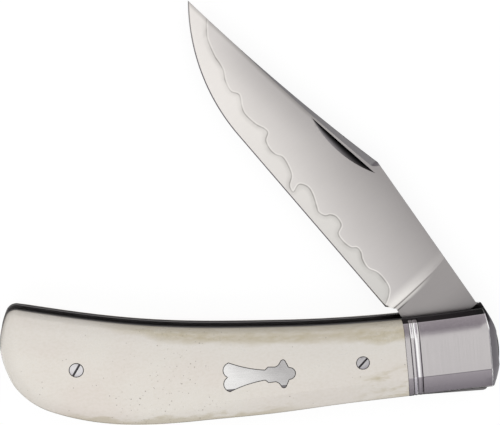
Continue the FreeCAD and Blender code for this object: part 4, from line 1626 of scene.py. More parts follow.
@dataclass
class Bolster(Piece):
    """One bolster with its turned beads and its bevelled front end.

    Zones along it are the collar behind the first groove, the rear bead, both halves of the front bead
    and the plain face. The gleams are of each zone in turn, and the dark strips are of the top wall, on
    the beads and on the plain zones.
    """

    side: Side
    stack: Stack
    line: HandleLine
    crown: Crown
    rear: float = -11.8
    rear_ease: Span = (0.05, 0.04)
    collar_shares: Span = (0.35, 0.7)
    grooves: Place = (1.1, 1.9, 2.98)
    groove_depth: float = 0.24
    groove_half: float = 0.08
    lip_runs: Span = (0.03, 0.04)
    lip_sink: float = 0.02
    lip_dark: float = 0.2
    bead_split: float = 2.5
    bead_turn: float = 1.35
    bead_steps: int = 15
    bead_sink: float = 0.95
    bead_dark: float = 0.7
    bead_dark_from: float = 0.86
    slope_step: float = 0.02
    face_steps: int = 8
    # Painted highlights of each zone, on the face and on the facet, and on the upper shoulder
    face_gleam: tuple[float, ...] = (0.0, 0.15, 1.0, 0.45, 0.0)
    facet_gleam: tuple[float, ...] = (0.0, 1.0, 0.1, 0.0, 0.0)
    shoulder_gleam: float = 0.8
    shoulder_width: float = 3.0
    facet_crease: float = 0.94
    # Strips of the walls that are painted with shade
    dark_foot: float = 0.2
    dark_strips: tuple[int, int] = (2, 4)
    back_strips: int = 4
    bevel_x: float = 5.4
    bevel_turn: Span = (4.6, 0.15)
    bevel_run: float = 0.786
    bevel_least: float = 0.06
    bevel_lip: float = 0.05
    bevel_foot: float = 0.1
    # Bevel marks: 1 where the bevel is painted with shade, less where its edge is painted with a
    # highlight
    bevel_marks: tuple[Span, ...] = ((0.06, 0.3), (0.12, 1.0), (0.5, 1.0), (0.97, 1.0), (1.0, 1.0))
    crease_round: float = 0.12
    wall_ease: float = 0.05
    crease: float = 26.0

    def stations(self) -> list[Place]:
        """Gives the places along the ringed rear part.

        Returns:
            Rows of the place, the sink of the surface and its painted shade.
        """
        run, drop = self.rear_ease
        first, last = self.grooves[0], self.grooves[-1]
        places = [(0.0, drop, 0.0), (run, 0.0, 0.0)]
        places += [(first * share, 0.0, 0.0) for share in self.collar_shares]
        lip = first - self.groove_half
        places += [(lip - self.lip_runs[0], 0.0, 0.0), (lip, self.lip_sink, self.lip_dark)]
        for start, end in zip(self.grooves[:-1], self.grooves[1:]):
            places.append((start, self.groove_depth, 1.0))
            middle, half = (start + end) / 2, (end - start) / 2
            for turn in np.linspace(-self.bead_turn, self.bead_turn, self.bead_steps):
                share = math.sin(turn)
                sink = self.groove_depth * (1 - math.cos(turn)) * self.bead_sink
                dark = max(0.0, abs(share) - self.bead_dark_from) / (1 - self.bead_dark_from)
                places.append((middle + half * share, sink, dark * self.bead_dark))
        lip = last + self.groove_half
        places += [(last, self.groove_depth, 1.0), (lip, self.lip_sink, self.lip_dark)]
        return places + [(lip + self.lip_runs[1], 0.0, 0.0)]

    def section(self) -> list[Row]:
        """Gives the section from the foot of the back wall to the foot of the top wall.

        Returns:
            Rows of the share of the handle's width, the distance from the nearest edge, the height, and
            the lean of the surface there, which is 1 on the back wall and -1 on the top wall.
        """
        parts = []
        for facet in (1.0, 0.0):
            lean = float(self.crown.lean(facet))
            edge = float(self.crown.height(lean, facet, facet))
            part = [(self.wall_ease, 0.0, 1.0), (0.0, self.wall_ease, 1.0)]
            part += [(lean * share, edge * share, 1.0) for share in self.crown.wall_shares]
            for inset in self.crown.insets(facet, facet):
                height = float(self.crown.height(inset, facet, facet))
                rise = float(self.crown.height(inset + self.slope_step, facet, facet)) - height
                part.append((float(inset), height, math.sin(math.atan2(rise, self.slope_step))))
            parts.append(part)
        back = [(0.0, *row) for row in parts[0]]
        top = [(1.0, inset, height, -lean) for inset, height, lean in parts[1]]
        return back + top[::-1]

    def across(self, row: Row, x: float) -> float:
        """Gives the place across the handle of a section's row at a place along it."""
        upper, inset = row[0] > 0.5, row[1]
        return float(self.line.top_y(x)) - inset if upper else self.line.back + inset

    def column(self, row: Row) -> list[tuple[float, ...]]:
        """Gives the points of one row along the bolster.

        Args:
            row: A row of the section.

        Returns:
            Rows of x, y, height, painted groove shade and bevel share.
        """
        upper, _, height, lean = row
        level = math.sqrt(max(1 - lean * lean, 0.0))
        points = []
        for place, sink, dark in self.stations():
            start = self.rear + place
            y = self.across(row, start) + sink * lean
            points.append((start, y, max(height - sink * level, 0.0), dark, 0.0))
        y = self.across(row, self.bevel_x)
        end = float(self.line.front_x(y))
        crease = self.bevel_x - self.bevel_turn[1] * max(0.0, y - self.bevel_turn[0])
        crease = min(crease, end - self.bevel_least)
        for share in np.linspace(0.0, 1.0, self.face_steps + 1)[1:]:
            x = start + (crease - self.crease_round - start) * share
            points.append((x, self.across(row, x), height, 0.0, 0.0))
        facet = 1.0 - upper
        rim = float(self.crown.height(self.crown.lean(facet), facet, facet))
        for share, mark in self.bevel_marks:
            x = crease + (end - crease) * share
            drop = (x - crease) / self.bevel_run + (self.bevel_lip if share == 1.0 else 0.0)
            low = height - drop if abs(lean) < 1.0 else height * max(rim - drop, self.bevel_foot) / rim
            points.append((x, y, max(low, min(height, self.bevel_foot)), 0.0, mark))
        points.append((end, y, min(self.wall_ease, height), 0.0, 0.0))
        points.append((end - self.wall_ease, y, 0.0, 0.0, 0.0))
        return points

    def areas(self) -> dict[str, Array]:
        """Gives the marks of the faces, strip by strip of the section, which paint highlights and
        shade.

        Returns:
            One value for each face, by the name of the mark.
        """
        section = np.array(self.section())
        places = np.array(self.column(tuple(section[0])))
        bevel = places[1:, 4]
        cut, ahead = bevel == 1.0, np.maximum.accumulate(bevel > 0.0)
        ends = self.rear + np.array([*self.grooves[:2], self.bead_split, self.grooves[2]])
        zone = np.searchsorted(ends + MERGE, places[1:, 0])
        ringed = (zone > 0) & (zone < len(ends))
        upper, inset = section[1:, :1] > 0.5, section[1:, 1:2]
        strip = np.arange(len(inset))[:, None]
        left = len(inset) - strip
        facet = ~upper & (inset <= self.crown.facet_width)
        crease = facet & (section[:-1, 1:2] > self.facet_crease * self.crown.facet_width)
        wall = (left <= self.dark_strips[0]) | ((left <= self.dark_strips[1]) & ~ringed)
        wall |= facet & (inset < self.dark_foot) & (strip >= self.back_strips) & (zone != 1)
        shoulder = self.shoulder_gleam * (upper & (inset < self.shoulder_width))
        on_face, on_facet = np.take(self.face_gleam, zone), np.take(self.facet_gleam, zone)
        gleam = np.maximum(on_face, shoulder * on_facet)
        # Bevel, crease and wall marks are painted shade; gleam and bead marks are painted highlights
        return {
            "bevel": np.tile(cut, len(inset)),
            "gleam": np.tile((bevel > 0.0) & ~cut, len(inset)),
            "bead": np.where(facet, on_facet, gleam).ravel(),
            "crease": (crease & (zone == len(ends)) & ~ahead).ravel(),
            "wall": (wall & ~ahead).ravel(),
        }

    def build(self, finishes: Finishes) -> Object:
        """Makes the bolster."""
        shell = Shell()
        rows = []
        for row in self.section():
            column = np.array(self.column(row))
            z = self.stack.over(self.side, column[:, 2])
            # The groove mark is painted shade in the grooves and on the flanks of the beads
            rows.append(shell.add(column[:, :2], z, groove=column[:, 3]))
        shell.rows(rows)
        shell.area(0, **self.areas())
        shell.faces.append([row[0] for row in rows])
        shell.faces.append(rows[0] + [row[-1] for row in rows[1:-1]] + rows[-1][::-1])
        return shell.build(f"{self.side.word}_ringed_bolster", finishes.bolster, self.crease)


@dataclass
class Liner(Piece):
    """One thin liner with eased edges."""

    side: Side
    stack: Stack
    line: HandleLine
    corner: float = 2.2
    ease: float = 0.06

    def build(self, finishes: Finishes) -> Object:
        """Makes the liner."""
        shell = Shell()
        thick, ease = self.stack.liner, self.ease
        levels = []
        for inset, height in ((ease, 0.0), (0.0, ease), (0.0, thick - ease), (ease, thick)):
            z = self.stack.out(self.side, self.stack.half_gap + height)
            levels.append((self.line.loop(self.corner, inset), z))
        rows = shell.wall(levels)
        shell.faces += [rows[0], rows[-1]]
        return shell.build(f"{self.side.word}_polished_liner", finishes.liner)


@dataclass
class Spring(Piece):
    """The back spring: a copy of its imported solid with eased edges."""

    node: Object
    ease: float = 0.08
    ease_segments: int = 2
    same_plane: float = 0.6

    def build(self, finishes: Finishes) -> Object:
        """Makes the spring."""
        work = bmesh.new()
        work.from_mesh(self.node.data)
        bmesh.ops.remove_doubles(work, verts=work.verts, dist=MERGE * MM)
        limit = math.radians(self.same_plane)
        bmesh.ops.dissolve_limit(work, angle_limit=limit, verts=work.verts, edges=work.edges)
        piece = finish_mesh(work, "lifted_back_spring", finishes.spring, CREASE)
        bevel = piece.modifiers.new("ease", "BEVEL")
        bevel.width = self.ease * MM
        bevel.segments = self.ease_segments
        bevel.limit_method = "ANGLE"
        bevel.angle_limit = math.radians(CREASE)
        bevel.harden_normals = True
        return plain(piece)


@dataclass
class Blade(Piece):
    """The clip-point blade: ground faces, swedge, nail nick, edge facets and the line of its core."""

    stack: Stack
    rest_turn: float = 124.0
    half: float = 1.3
    pivot_radius: float = 1.63
    pivot_steps: int = 48
    tang: float = 4.2
    tang_round: float = 1.0
    tilt: float = 3.5
    kick: float = 4.0
    shoulder: Span = (5.1, -8.2)
    ricasso: Span = (12.8, 5.28)
    choil: Span = (15.1, 4.95)
    heel: Span = (16.5, 6.5)
    belly: Span = (63.5, 6.5)
    tip: Span = (90.4, -3.28)
    clip: Span = (40.7, -11.3)
    clip_radius: float = 434.0
    plunge: float = 15.1
    plunge_radius: float = 2.2
    plunge_across: Span = (5.95, -9.25)
    plunge_steps: int = 70
    plunge_shares: tuple[float, ...] = (
        0.0, 0.05, 0.11, 0.18, 0.26, 0.35, 0.45, 0.56, 0.68, 0.8, 0.92, 1.0,
    )
    spine_reach: float = 9.1
    edge_half: float = 0.15
    facet_half: float = 0.02
    facet_width: float = 0.26
    facet_start: float = 16.1
    facet_steps: int = 90
    facet_line: Span = (0.92, 0.95)
    facet_over: float = 0.004
    facet_mark: float = 0.9
    taper_end: float = 93.4
    swedge_width: float = 1.28
    swedge_end: float = 77.0
    swedge_start: float = 39.6
    swedge_slope: float = 0.364
    swedge_steps: int = 140
    swedge_ends: Span = (0.1, 0.5)
    swedge_across: Span = (-13.0, -4.0)
    entry_shares: tuple[float, ...] = (0.15, 0.3, 0.45, 0.6, 0.8, 1.0)
    entry_across: Span = (-9.6, -12.0)
    nick_rear: Span = (39.66, -9.54)
    nick_front: Span = (56.55, -7.02)
    nick_width: float = 1.55
    nick_depth: float = 0.5
    nick_power: float = 1.6
    nick_steps: int = 48
    nick_rows: int = 11
    core_sink: float = 0.016
    clip_reach: Span = (-1.0, 9.0)
    weld_reach: float = 3.0
    weld_half: float = 0.16
    weld_steps: int = 7
    weld_sides: tuple[float, ...] = (-0.5, -0.24, -0.16, -0.08, 0.08, 0.16, 0.24, 0.5)
    grid_along: Span = (18.0, 90.0)
    grid_across: Span = (-11.0, 6.0)
    grid_step: float = 1.1
    crease: float = 11.0
    weld: tuple[Span, ...] = (
        (86.6, -5.2), (85.2, -3.8), (83.6, -2.4), (81.9, -1.3), (78.6, -0.3), (76.9, -0.1), (75.2, 0.3),
        (73.4, 1.3), (71.2, 1.8), (69.5, 1.0), (67.4, 2.1), (65.7, 2.6), (62.9, 2.3), (61.1, 1.6),
        (59.9, 1.6), (58.9, 2.9), (57.0, 3.4), (55.5, 3.2), (54.2, 2.5), (52.3, 2.7), (50.1, 3.5),
        (49.0, 4.9), (48.2, 5.4), (47.3, 5.4), (47.8, 3.9), (47.4, 3.1), (46.0, 2.5), (44.2, 2.8),
        (41.8, 3.8), (40.7, 4.2), (39.4, 3.7), (38.8, 2.7), (37.6, 2.1), (35.7, 2.4), (34.7, 4.0),
        (32.9, 4.3), (30.9, 3.9), (30.0, 3.0), (28.7, 3.0), (27.3, 3.7), (25.2, 4.0), (23.4, 3.2),
        (21.6, 3.0), (19.4, 3.3), (18.0, 4.4), (17.0, 6.0), (16.8, 7.2),
    )

    @property
    def belly_bend(self) -> float:
        """Radius of the curve of the edge towards the tip."""
        run, drop = self.tip[0] - self.belly[0], self.belly[1] - self.tip[1]
        return (run**2 + drop**2) / (2 * drop)

    @property
    def belly_centre(self) -> Flat:
        """Centre of the curve of the edge towards the tip."""
        return np.array([self.belly[0], self.belly[1] - self.belly_bend])

    @property
    def ground_slope(self) -> float:
        """Slope of the ground face across the blade, at the plunge."""
        return (self.half - self.edge_half) / (self.heel[1] + self.spine_reach)

    def ground(self, u: Number, v: Number) -> Number:
        """Gives the height of the ground face."""
        taper = (self.taper_end - u) / (self.taper_end - self.plunge)
        return self.edge_half + taper * self.ground_slope * (self.heel[1] - v)

    def entered(self, floor: Callable, start: float, u: Number, v: Number) -> Array:
        """Gives the height of a ground facet with the rounded entry where the wheel came in.

        Args:
            floor: Gives the height of the facet.
            start: Where the wheel came in.
            u: Places along the blade.
            v: Places across it.

        Returns:
            The height, which is above the blade before the entry.
        """
        radius = self.plunge_radius
        middle = start + radius
        ahead = np.clip(middle - u, 0.0, radius)
        lift = radius - np.sqrt(radius**2 - ahead**2)
        return np.where(u < start, ABOVE, floor(np.maximum(u, middle), v) + lift)

    def clip_line(self, u: Array) -> Array:
        """Gives where the hollow back of the point runs."""
        centre = bend_centre(np.array(self.clip), np.array(self.tip), -self.clip_radius)
        return centre[1] + np.sqrt(self.clip_radius**2 - (u - centre[0]) ** 2)

    def swedge_line(self, u: Array) -> Array:
        """Gives where the swedge leaves the ground face, ever nearer to the back of the point."""
        share = (self.swedge_end - u) / (self.swedge_end - self.clip[0])
        return self.clip_line(u) + self.swedge_width * share

    def clip_gap(self, places: Flat) -> Array:
        """Gives how far places are from the swedge, or from the back of the point past its end."""
        line = np.maximum(self.swedge_line(places[:, 0]), self.clip_line(places[:, 0]))
        return np.clip(places[:, 1] - line, *self.clip_reach)

    def swedge_plane(self, u: Array, v: Number) -> Array:
        """Gives the height of the swedge without its entry."""
        line = self.swedge_line(u)
        return self.ground(u, line) + self.swedge_slope * (v - line)

    def face(self, u: Array, v: Number) -> Array:
        """Gives the height of the ground face with its entry."""
        return self.entered(self.ground, self.plunge, u, v)

    def swedge(self, u: Array, v: Number) -> Array:
        """Gives the height of the swedge with its entry."""
        return self.entered(self.swedge_plane, self.swedge_start, u, v)

    def edge_gap(self, places: Flat) -> Array:
        """Gives the distance of places from the cutting edge."""
        round_gap = self.belly_bend - np.hypot(*(places - self.belly_centre).T)
        return np.where(places[:, 0] < self.belly[0], self.belly[1] - places[:, 1], round_gap)

    def facet_floor(self, places: Flat) -> Array:
        """Gives the height of the facet along the edge, which is above the blade behind the heel."""
        rise = self.ground(self.heel[0], self.heel[1] - self.facet_width) - self.facet_half
        level = self.facet_half + rise / self.facet_width * self.edge_gap(places)
        return np.where(places[:, 0] < self.facet_start, ABOVE, level)

    def height(self, places: Flat) -> Array:
        """Gives half the thickness of the blade, without the nick.

        Args:
            places: Places on the blade.

        Returns:
            One height for each place.
        """
        u, v = places.T
        face = np.minimum(self.half, self.face(u, v))
        worn = eased(self.weld_gap(places), -self.weld_half, self.weld_half)
        face = face - self.core_sink * worn * (face < self.half)
        face = np.where(u < self.swedge_end, np.minimum(face, self.swedge(u, v)), face)
        return np.maximum(np.minimum(face, self.facet_floor(places)), self.facet_half)

    def weld_line(self) -> Flat:
        """Gives the smooth line between the core and the outer layers, from tip to heel.

        Returns:
            Points of a cubic curve through the knots.
        """
        knots = np.array(self.weld)
        padded = np.vstack([2 * knots[0] - knots[1], knots, 2 * knots[-1] - knots[-2]])
        t = np.linspace(0.0, 1.0, self.weld_steps, endpoint=False)[:, None]
        parts = []
        for a, b, c, d in zip(padded[:-3], padded[1:-2], padded[2:-1], padded[3:]):
            square, cube = 2 * a - 5 * b + 4 * c - d, 3 * b - a - 3 * c + d
            parts.append(0.5 * (2 * b + (c - a) * t + square * t**2 + cube * t**3))
        return np.vstack([*parts, knots[-1]])

    def weld_gap(self, places: Flat) -> Array:
        """Gives the distance of places from the line of the core, above zero on the core."""
        return -line_distance(self.weld_line(), places)

    def outline(self) -> Flat:
        """Gives the closed outline of the blade, from the tip over the edge and tang to the clip.

        Returns:
            One row of u and v for each point.
        """
        flat, inner = self.tang, self.tang - self.tang_round
        sin, cos = math.sin(math.radians(self.tilt)), math.cos(math.radians(self.tilt))
        corner = inner * (1 - sin) / cos
        # Rows of u, v, the bend of the line to the next row and the number of its points
        corners = [
            (*self.tip, self.belly_bend, 90),
            (*self.belly, None, 80),
            (*self.heel, None, 6),
            (*self.choil, None, 6),
            (*self.ricasso, None, 12),
            (self.kick, (flat + self.kick * sin) / cos, None, 8),
            (-inner - self.tang_round * sin, corner + self.tang_round * cos, self.tang_round, 8),
            (-flat, corner, None, 6),
            (-flat, -inner, self.tang_round, 8),
            (-inner, -flat, None, 10),
            (self.shoulder[0], -flat, None, 6),
            (*self.shoulder, None, 50),
            (*self.clip, -self.clip_radius, 90),
        ]
        parts = []
        for (u, v, bend, count), (next_u, next_v, *_) in zip(corners, corners[1:] + corners[:1]):
            parts.append(bend_points(np.array([u, v]), np.array([next_u, next_v]), bend, count))
        return np.vstack(parts)

    def swedge_crease(self) -> Flat:
        """Gives the line where the swedge and the ground face meet.

        Returns:
            One row of u and v for each point.
        """
        first, last = self.swedge_start + self.swedge_ends[0], self.swedge_end - self.swedge_ends[1]
        u = np.linspace(first, last, self.swedge_steps)
        low, high = self.swedge_across
        # Both heights are straight across the blade, so two gaps give the place
        low_gap, high_gap = (self.ground(u, v) - self.swedge(u, v) for v in self.swedge_across)
        v = low + (high - low) * low_gap / (low_gap - high_gap)
        return np.column_stack([u, v])[low_gap * high_gap <= 0]

    def creases(self) -> list[Flat]:
        """Gives the lines that edges of the mesh follow on the faces.

        Returns:
            Rows of u and v for each line.
        """
        radius = self.plunge_radius
        middle = self.plunge + radius
        across = np.linspace(*self.plunge_across, self.plunge_steps)
        lift = np.clip(self.half - self.ground(middle, across), 0.0, None)
        run = np.sqrt(np.clip(radius**2 - (radius - lift) ** 2, 0.0, None))
        lines = [np.column_stack([middle - run * (1 - share), across]) for share in self.plunge_shares]
        lines.append(self.swedge_crease())
        for share in self.entry_shares:
            u = self.swedge_start + radius * share
            lines.append(np.array([(u, v) for v in self.entry_across]))
        edge = np.linspace(self.heel[0], self.belly[0], self.facet_steps)
        straight, curved = (self.facet_width * share for share in self.facet_line)
        heel = np.column_stack(np.broadcast_arrays(edge, self.heel[1] - straight))
        last = heading(np.array(self.tip) - self.belly_centre) + self.facet_over
        bend = self.belly_bend - curved
        curve = arc_points(self.belly_centre, bend, math.pi / 2, last, self.facet_steps)
        return [*lines, np.vstack([heel, curve[1:]]), self.weld_line()]

    def spots(self) -> list[Flat]:
        """Gives more places on the faces, close together by the line of the core.

        Returns:
            Rows of u and v for each set of places.
        """
        line = self.weld_line()
        left = left_of(np.gradient(line, axis=0))
        u, v = np.meshgrid(
            np.arange(*self.grid_along, self.grid_step), np.arange(*self.grid_across, self.grid_step)
        )
        beside = [line + left * gap for gap in self.weld_sides]
        return [*beside, np.column_stack([u.ravel(), v.ravel()])]

    def nick_sides(self) -> tuple[Flat, Flat]:
        """Gives the two sides of the nick, from rear to front.

        Returns:
            The straight side and the curved side.
        """
        rear, front = np.array(self.nick_rear), np.array(self.nick_front)
        half = float(np.hypot(*(front - rear))) / 2
        radius = (half**2 + self.nick_width**2) / (2 * self.nick_width)
        curve = np.vstack([bend_points(rear, front, -radius, self.nick_steps), front])
        chord = rear + (front - rear) * np.linspace(0.0, 1.0, len(curve))[:, None]
        return chord, curve

    def on_bare(self, places: Flat) -> Array:
        """Tells which places are on the unground tang and ricasso."""
        return self.face(*places.T) > self.half

    def on_swedge(self, places: Flat) -> Array:
        """Tells which places are on the swedge."""
        u, v = places.T
        return (self.swedge(u, v) < self.ground(u, v)) & (u < self.swedge_end)

    def on_facet(self, places: Flat) -> Array:
        """Tells which places are on the facet along the edge."""
        near = self.edge_gap(places) < self.facet_width * self.facet_mark
        return near & (places[:, 0] > self.facet_start)

    def add_face(self, shell: Shell, side: Side, holes: list[Flat]) -> None:
        """Adds one side of the blade, with loops that stay open."""
        shell.sheet(
            self.outline(),
            holes,
            lambda p: side.value * self.height(p),
            self.creases(),
            self.spots(),
            {"bare": self.on_bare, "swedge": self.on_swedge, "keen": self.on_facet},
            weld=lambda p: np.clip(self.weld_gap(p), -self.weld_reach, self.weld_reach),
            clip=self.clip_gap,
        )

    def add_nick(self, shell: Shell) -> None:
        """Adds the wall and the hollow of the nail nick.

        Args:
            shell: The mesh, in the plane of the blade.
        """
        chord, curve = self.nick_sides()
        depth = self.nick_depth * np.sin(np.linspace(0.0, math.pi, len(chord)))
        since = len(shell.faces)
        rows = []
        for share in np.linspace(0.0, 1.0, self.nick_rows):
            places = chord + (curve - chord) * share
            z = self.height(places) - depth * (1 - share) ** self.nick_power
            rows.append(shell.add(places, z, hollow=1 - share, weld=-self.weld_reach))
        rim = shell.add(chord, self.height(chord), hollow=0.0, weld=-self.weld_reach)
        shell.rows([rim, *rows])
        # The nick is marked for painted shade
        shell.area(since, nick=1.0)

    def build(self, finishes: Finishes) -> Object:
        """Makes the blade in its own plane and turns it to its rest."""
        shell = Shell()
        hole = circle_points((0.0, 0.0), self.pivot_radius, self.pivot_steps)
        chord, curve = self.nick_sides()
        self.add_face(shell, Side.NEAR, [hole, np.vstack([curve, chord[-2:0:-1]])])
        self.add_face(shell, Side.FAR, [hole])
        self.add_nick(shell)
        since = len(shell.faces)
        for loop in (self.outline(), hole):
            z = self.height(loop)
            shell.wall([(loop, z), (loop, -z)], weld=self.weld_gap(loop))
        shell.area(since, bare=1.0)
        points = np.array(shell.points)
        turned = spun(points[:, :2], self.rest_turn)
        shell.points = np.column_stack([turned, points[:, 2] + self.stack.middle]).tolist()
        return shell.build("clip_point_blade", finishes.blade, self.crease)


@dataclass(frozen=True)
class Card:
    """A grey card of the set that only shows in the gloss of the knife."""

    name: str
    low_grey: Colour
    high_grey: Colour

    def grid(self) -> tuple[Flat, int]:
        """Gives the points of the card row by row, and the number in a row."""
        raise NotImplementedError

    def build(self) -> None:
        """Makes the card, which shades from its first row to its last."""
        graph, material = Graph.of_material(self.name)
        grey = graph.mix(graph.mark("rise"), self.low_grey, self.high_grey)
        graph.close(graph.add("ShaderNodeEmission", {"Color": grey, "Strength": 1.0}))
        points, width = self.grid()
        firsts = [n for n in range(len(points) - width) if (n + 1) % width]
        mesh = bpy.data.meshes.new(self.name)
        mesh.from_pydata(points.tolist(), [], [(n, n + 1, n + width + 1, n + width) for n in firsts])
        rises = np.repeat(np.linspace(0.0, 1.0, len(points) // width), width)
        mesh.attributes.new("rise", "FLOAT", "POINT").data.foreach_set("value", rises)
        mesh.materials.append(material)
        card = put(self.name, mesh)
        for rays in ("camera", "diffuse", "shadow", "transmission"):
            setattr(card, f"visible_{rays}", False)


@dataclass(frozen=True)
class DomeCard(Card):
    """A card bent round the set, between two directions and two elevations in degrees."""

    azimuth: Span
    elevation: Span
    reach: float = 0.5
    middle: float = -0.04
    columns: int = 33
    rows: int = 9

    def grid(self) -> tuple[Flat, int]:
        """Gives the points of the card row by row, and the number in a row."""
        turns = np.radians(np.linspace(*self.azimuth, self.columns))
        rises = np.radians(np.linspace(*self.elevation, self.rows))[:, None]
        flat, level = np.cos(rises) * self.reach, np.sin(rises) * self.reach
        x, y, z = flat * np.cos(turns) + self.middle, flat * np.sin(turns), level + 0.0 * turns
        return np.column_stack([x.ravel(), y.ravel(), z.ravel()]), self.columns


@dataclass(frozen=True)
class FloorCard(Card):
    """A card that lies flat on the floor, between two corners."""

    low: Span
    high: Span
    lift: float = -0.00001

    def grid(self) -> tuple[Flat, int]:
        """Gives the points of the card row by row, and the number in a row."""
        ends = (self.low, self.high)
        return np.array([(right[0], far[1], self.lift) for far in ends for right in ends]), 2


@dataclass
class Studio:
    """The white set: camera, floor, sky, lamp and grey cards.

    The camera's place is in millimetres, as the part's is.
    """

    target: Place = (-40.05, 32.87, 6.02)
    toward: Place = (-0.0371, 0.2250, 0.9737)
    up: Place = (0.1026, 0.9947, 0.0)
    distance: float = 440.0
    lens: float = 157.45
    sensor: float = 36.0
    sight: Span = (0.01, 20.0)
    lamp_side: float = 1.2
    lamp_place: Place = (-0.18, 0.05, 0.9)
    lamp_glow: float = 1.0
    white: Row = (1.0, 1.0, 1.0, 1.0)
    fill: float = 0.64
    floor_side: float = 3.0
    floor_drop: float = 0.05 * MM
    floor_glow: float = 0.88
    floor_tone: Row = (0.14, 0.14, 0.14, 1.0)
    floor_bounce: float = 0.75
    cards: tuple[Card, ...] = (
        DomeCard("back_card", (0.32, 0.3, 0.34), (0.7, 0.67, 0.72), (185.0, 355.0), (22.0, 50.0)),
        DomeCard("low_back_card", (0.1, 0.1, 0.11), (0.32, 0.3, 0.34), (180.0, 360.0), (1.0, 22.0)),
        DomeCard("front_card", (0.66, 0.62, 0.66), (0.36, 0.33, 0.37), (40.0, 112.0), (22.0, 62.0)),
        DomeCard("high_card", (0.36, 0.33, 0.37), (0.86, 0.84, 0.86), (40.0, 112.0), (62.0, 98.0)),
        FloorCard("front_floor_card", (0.1,) * 3, (0.1,) * 3, (-0.35, 0.0085), (0.25, 0.4)),
        FloorCard("back_floor_card", (0.06,) * 3, (0.06,) * 3, (-0.35, -0.4), (0.012, -0.0105)),
    )

    def camera(self) -> None:
        """Sets the camera at the photograph's angle."""
        back = Vector(self.toward).normalized()
        right = Vector(self.up).cross(back).normalized()
        data = bpy.data.cameras.new("camera")
        data.lens = self.lens
        data.sensor_width = self.sensor
        data.clip_start, data.clip_end = self.sight
        camera = put("camera", data)
        turn = Matrix((right, back.cross(right), back)).transposed().to_4x4()
        where = (Vector(self.target) + back * self.distance) * MM
        camera.matrix_world = Matrix.Translation(where) @ turn
        bpy.context.scene.camera = camera

    @staticmethod
    def strength(graph: Graph, seen: float, felt: float) -> Signal:
        """Gives the strength of a glow.

        Args:
            graph: The node tree.
            seen: Strength for the rays that see the background: those of the camera, gloss and glass.
            felt: Strength for all others.

        Returns:
            The strength.
        """
        path = graph.add("ShaderNodeLightPath").outputs
        kinds = ("Camera", "Glossy", "Transmission")
        camera, gloss, glass = (1.0 - Signal(graph, path[f"Is {kind} Ray"]) for kind in kinds)
        return (camera * gloss * glass).between(seen, felt)

    def sky(self) -> None:
        """Makes a white background and a softer fill for the surfaces."""
        world = bpy.data.worlds.new("studio")
        bpy.context.scene.world = world
        world.use_nodes = True
        graph = Graph(world.node_tree)
        inputs = {"Color": self.white, "Strength": self.strength(graph, 1.0, self.fill)}
        graph.close(graph.add("ShaderNodeBackground", inputs), "ShaderNodeOutputWorld")

    def floor(self) -> None:
        """Makes the pale floor, which keeps the shadow of the knife."""
        graph, material = Graph.of_material("pale_floor")
        strength = self.strength(graph, self.floor_glow, self.floor_bounce)
        dull = graph.add("ShaderNodeBsdfDiffuse", {"Color": self.floor_tone})
        glow = graph.add("ShaderNodeEmission", {"Color": self.white, "Strength": strength})
        graph.close(graph.add("ShaderNodeAddShader", {0: dull.outputs[0], 1: glow.outputs[0]}))
        half = self.floor_side / 2
        corners = ((-half, -half), (half, -half), (half, half), (-half, half))
        mesh = bpy.data.meshes.new("floor")
        mesh.from_pydata([(x, y, -self.floor_drop) for x, y in corners], [], [(0, 1, 2, 3)])
        mesh.materials.append(material)
        put("floor", mesh)

    def lamp(self) -> None:
        """Hangs one large soft lamp over the set."""
        data = bpy.data.lights.new("overhead", "AREA")
        data.size = self.lamp_side
        data.energy = math.pi * self.lamp_side**2 * self.lamp_glow
        lamp = put("overhead", data)
        lamp.location = self.lamp_place
        lamp.visible_glossy = False

    def build(self) -> None:
        """Sets up everything round the knife."""
        self.camera()
        self.sky()
        self.floor()
        self.lamp()
        for card in self.cards:
            card.build()
        bpy.context.scene.view_settings.view_transform = "Standard"


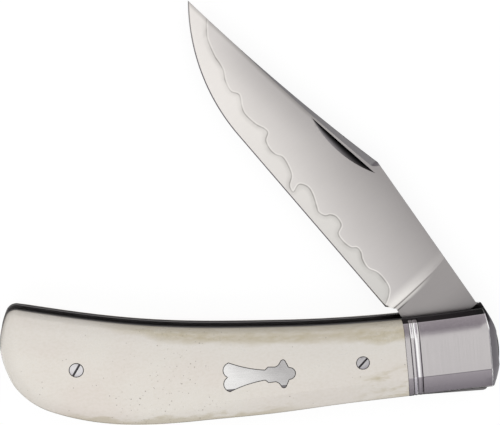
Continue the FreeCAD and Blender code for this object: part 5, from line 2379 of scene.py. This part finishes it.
class Knife:
    """The whole knife, dressed piece by piece."""

    def __init__(self, frame: dict) -> None:
        """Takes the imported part.
        """
        self.nodes: dict[str, Object] = frame["nodes"]
        self.finishes = Finishes()
        self.stack = Stack()
        self.line = HandleLine()
        self.crowns = {
            Side.NEAR: Crown(),
            Side.FAR: Crown(roll_width=(1.2, 0.8), roll_fall=(1.2, 0.6), wall_lean=(0.4, 0.04)),
        }
        self.bolster_crown = Crown(
            width=4.6, roll_width=(0.55, 0.5), roll_fall=(0.12, 0.2), wall_lean=(0.4, 0.04)
        )
        self.screws = Screws(self.stack)
        self.shield = Shield(self.stack)

    def stand_for(self, maker: Piece, body: Body, slot: str, *nodes: str) -> None:
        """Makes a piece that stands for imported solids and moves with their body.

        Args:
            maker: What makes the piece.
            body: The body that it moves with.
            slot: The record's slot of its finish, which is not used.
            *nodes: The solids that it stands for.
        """
        piece = maker.build(self.finishes)
        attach(piece, body.value)
        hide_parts(*nodes)
        LOG.info("%s stands for %s: %d faces", piece.name, ", ".join(nodes), len(piece.data.polygons))

    def dress_side(self, side: Side) -> None:
        """Makes the scale, bolster and liner of one side.

        Args:
            side: The side.
        """
        shared = (side, self.stack, self.line)
        shield = self.shield if side is Side.NEAR else None
        scale = Scale(*shared, self.crowns[side], self.screws, shield)
        self.stand_for(scale, Body.HANDLE, "bone", f"{side.word}_scale")
        bolster = Bolster(*shared, self.bolster_crown)
        self.stand_for(bolster, Body.HANDLE, "bolster_steel", f"{side.word}_bolster")
        self.stand_for(Liner(*shared), Body.HANDLE, "liner_steel", f"{side.word}_liner")

    def dress_kept(self) -> None:
        """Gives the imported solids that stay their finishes."""
        for name, node in self.nodes.items():
            if node.hide_render:
                continue
            material = self.finishes.washer if "washer" in name else self.finishes.pin
            node.data.materials.clear()
            node.data.materials.append(material)
            LOG.info("%s keeps its solid", name)

    def build(self) -> None:
        """Dresses every piece."""
        for side in Side:
            self.dress_side(side)
        self.stand_for(self.shield, Body.HANDLE, "shield_metal", "shield")
        screws = [f"{side.word}_{end}_screw" for side in Side for end in ("front", "rear")]
        self.stand_for(self.screws, Body.HANDLE, "screw_steel", *screws)
        spring = Spring(self.nodes["back_spring"])
        self.stand_for(spring, Body.HANDLE, "spring_steel", "back_spring")
        self.stand_for(Blade(self.stack), Body.BLADE, "blade_steel", "blade")
        self.dress_kept()


def main() -> None:
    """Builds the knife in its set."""
    logging.basicConfig(level=logging.INFO, format="%(name)s: %(message)s")
    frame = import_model()
    Studio().build()
    Knife(frame).build()


if __name__ == "__main__":
    main()
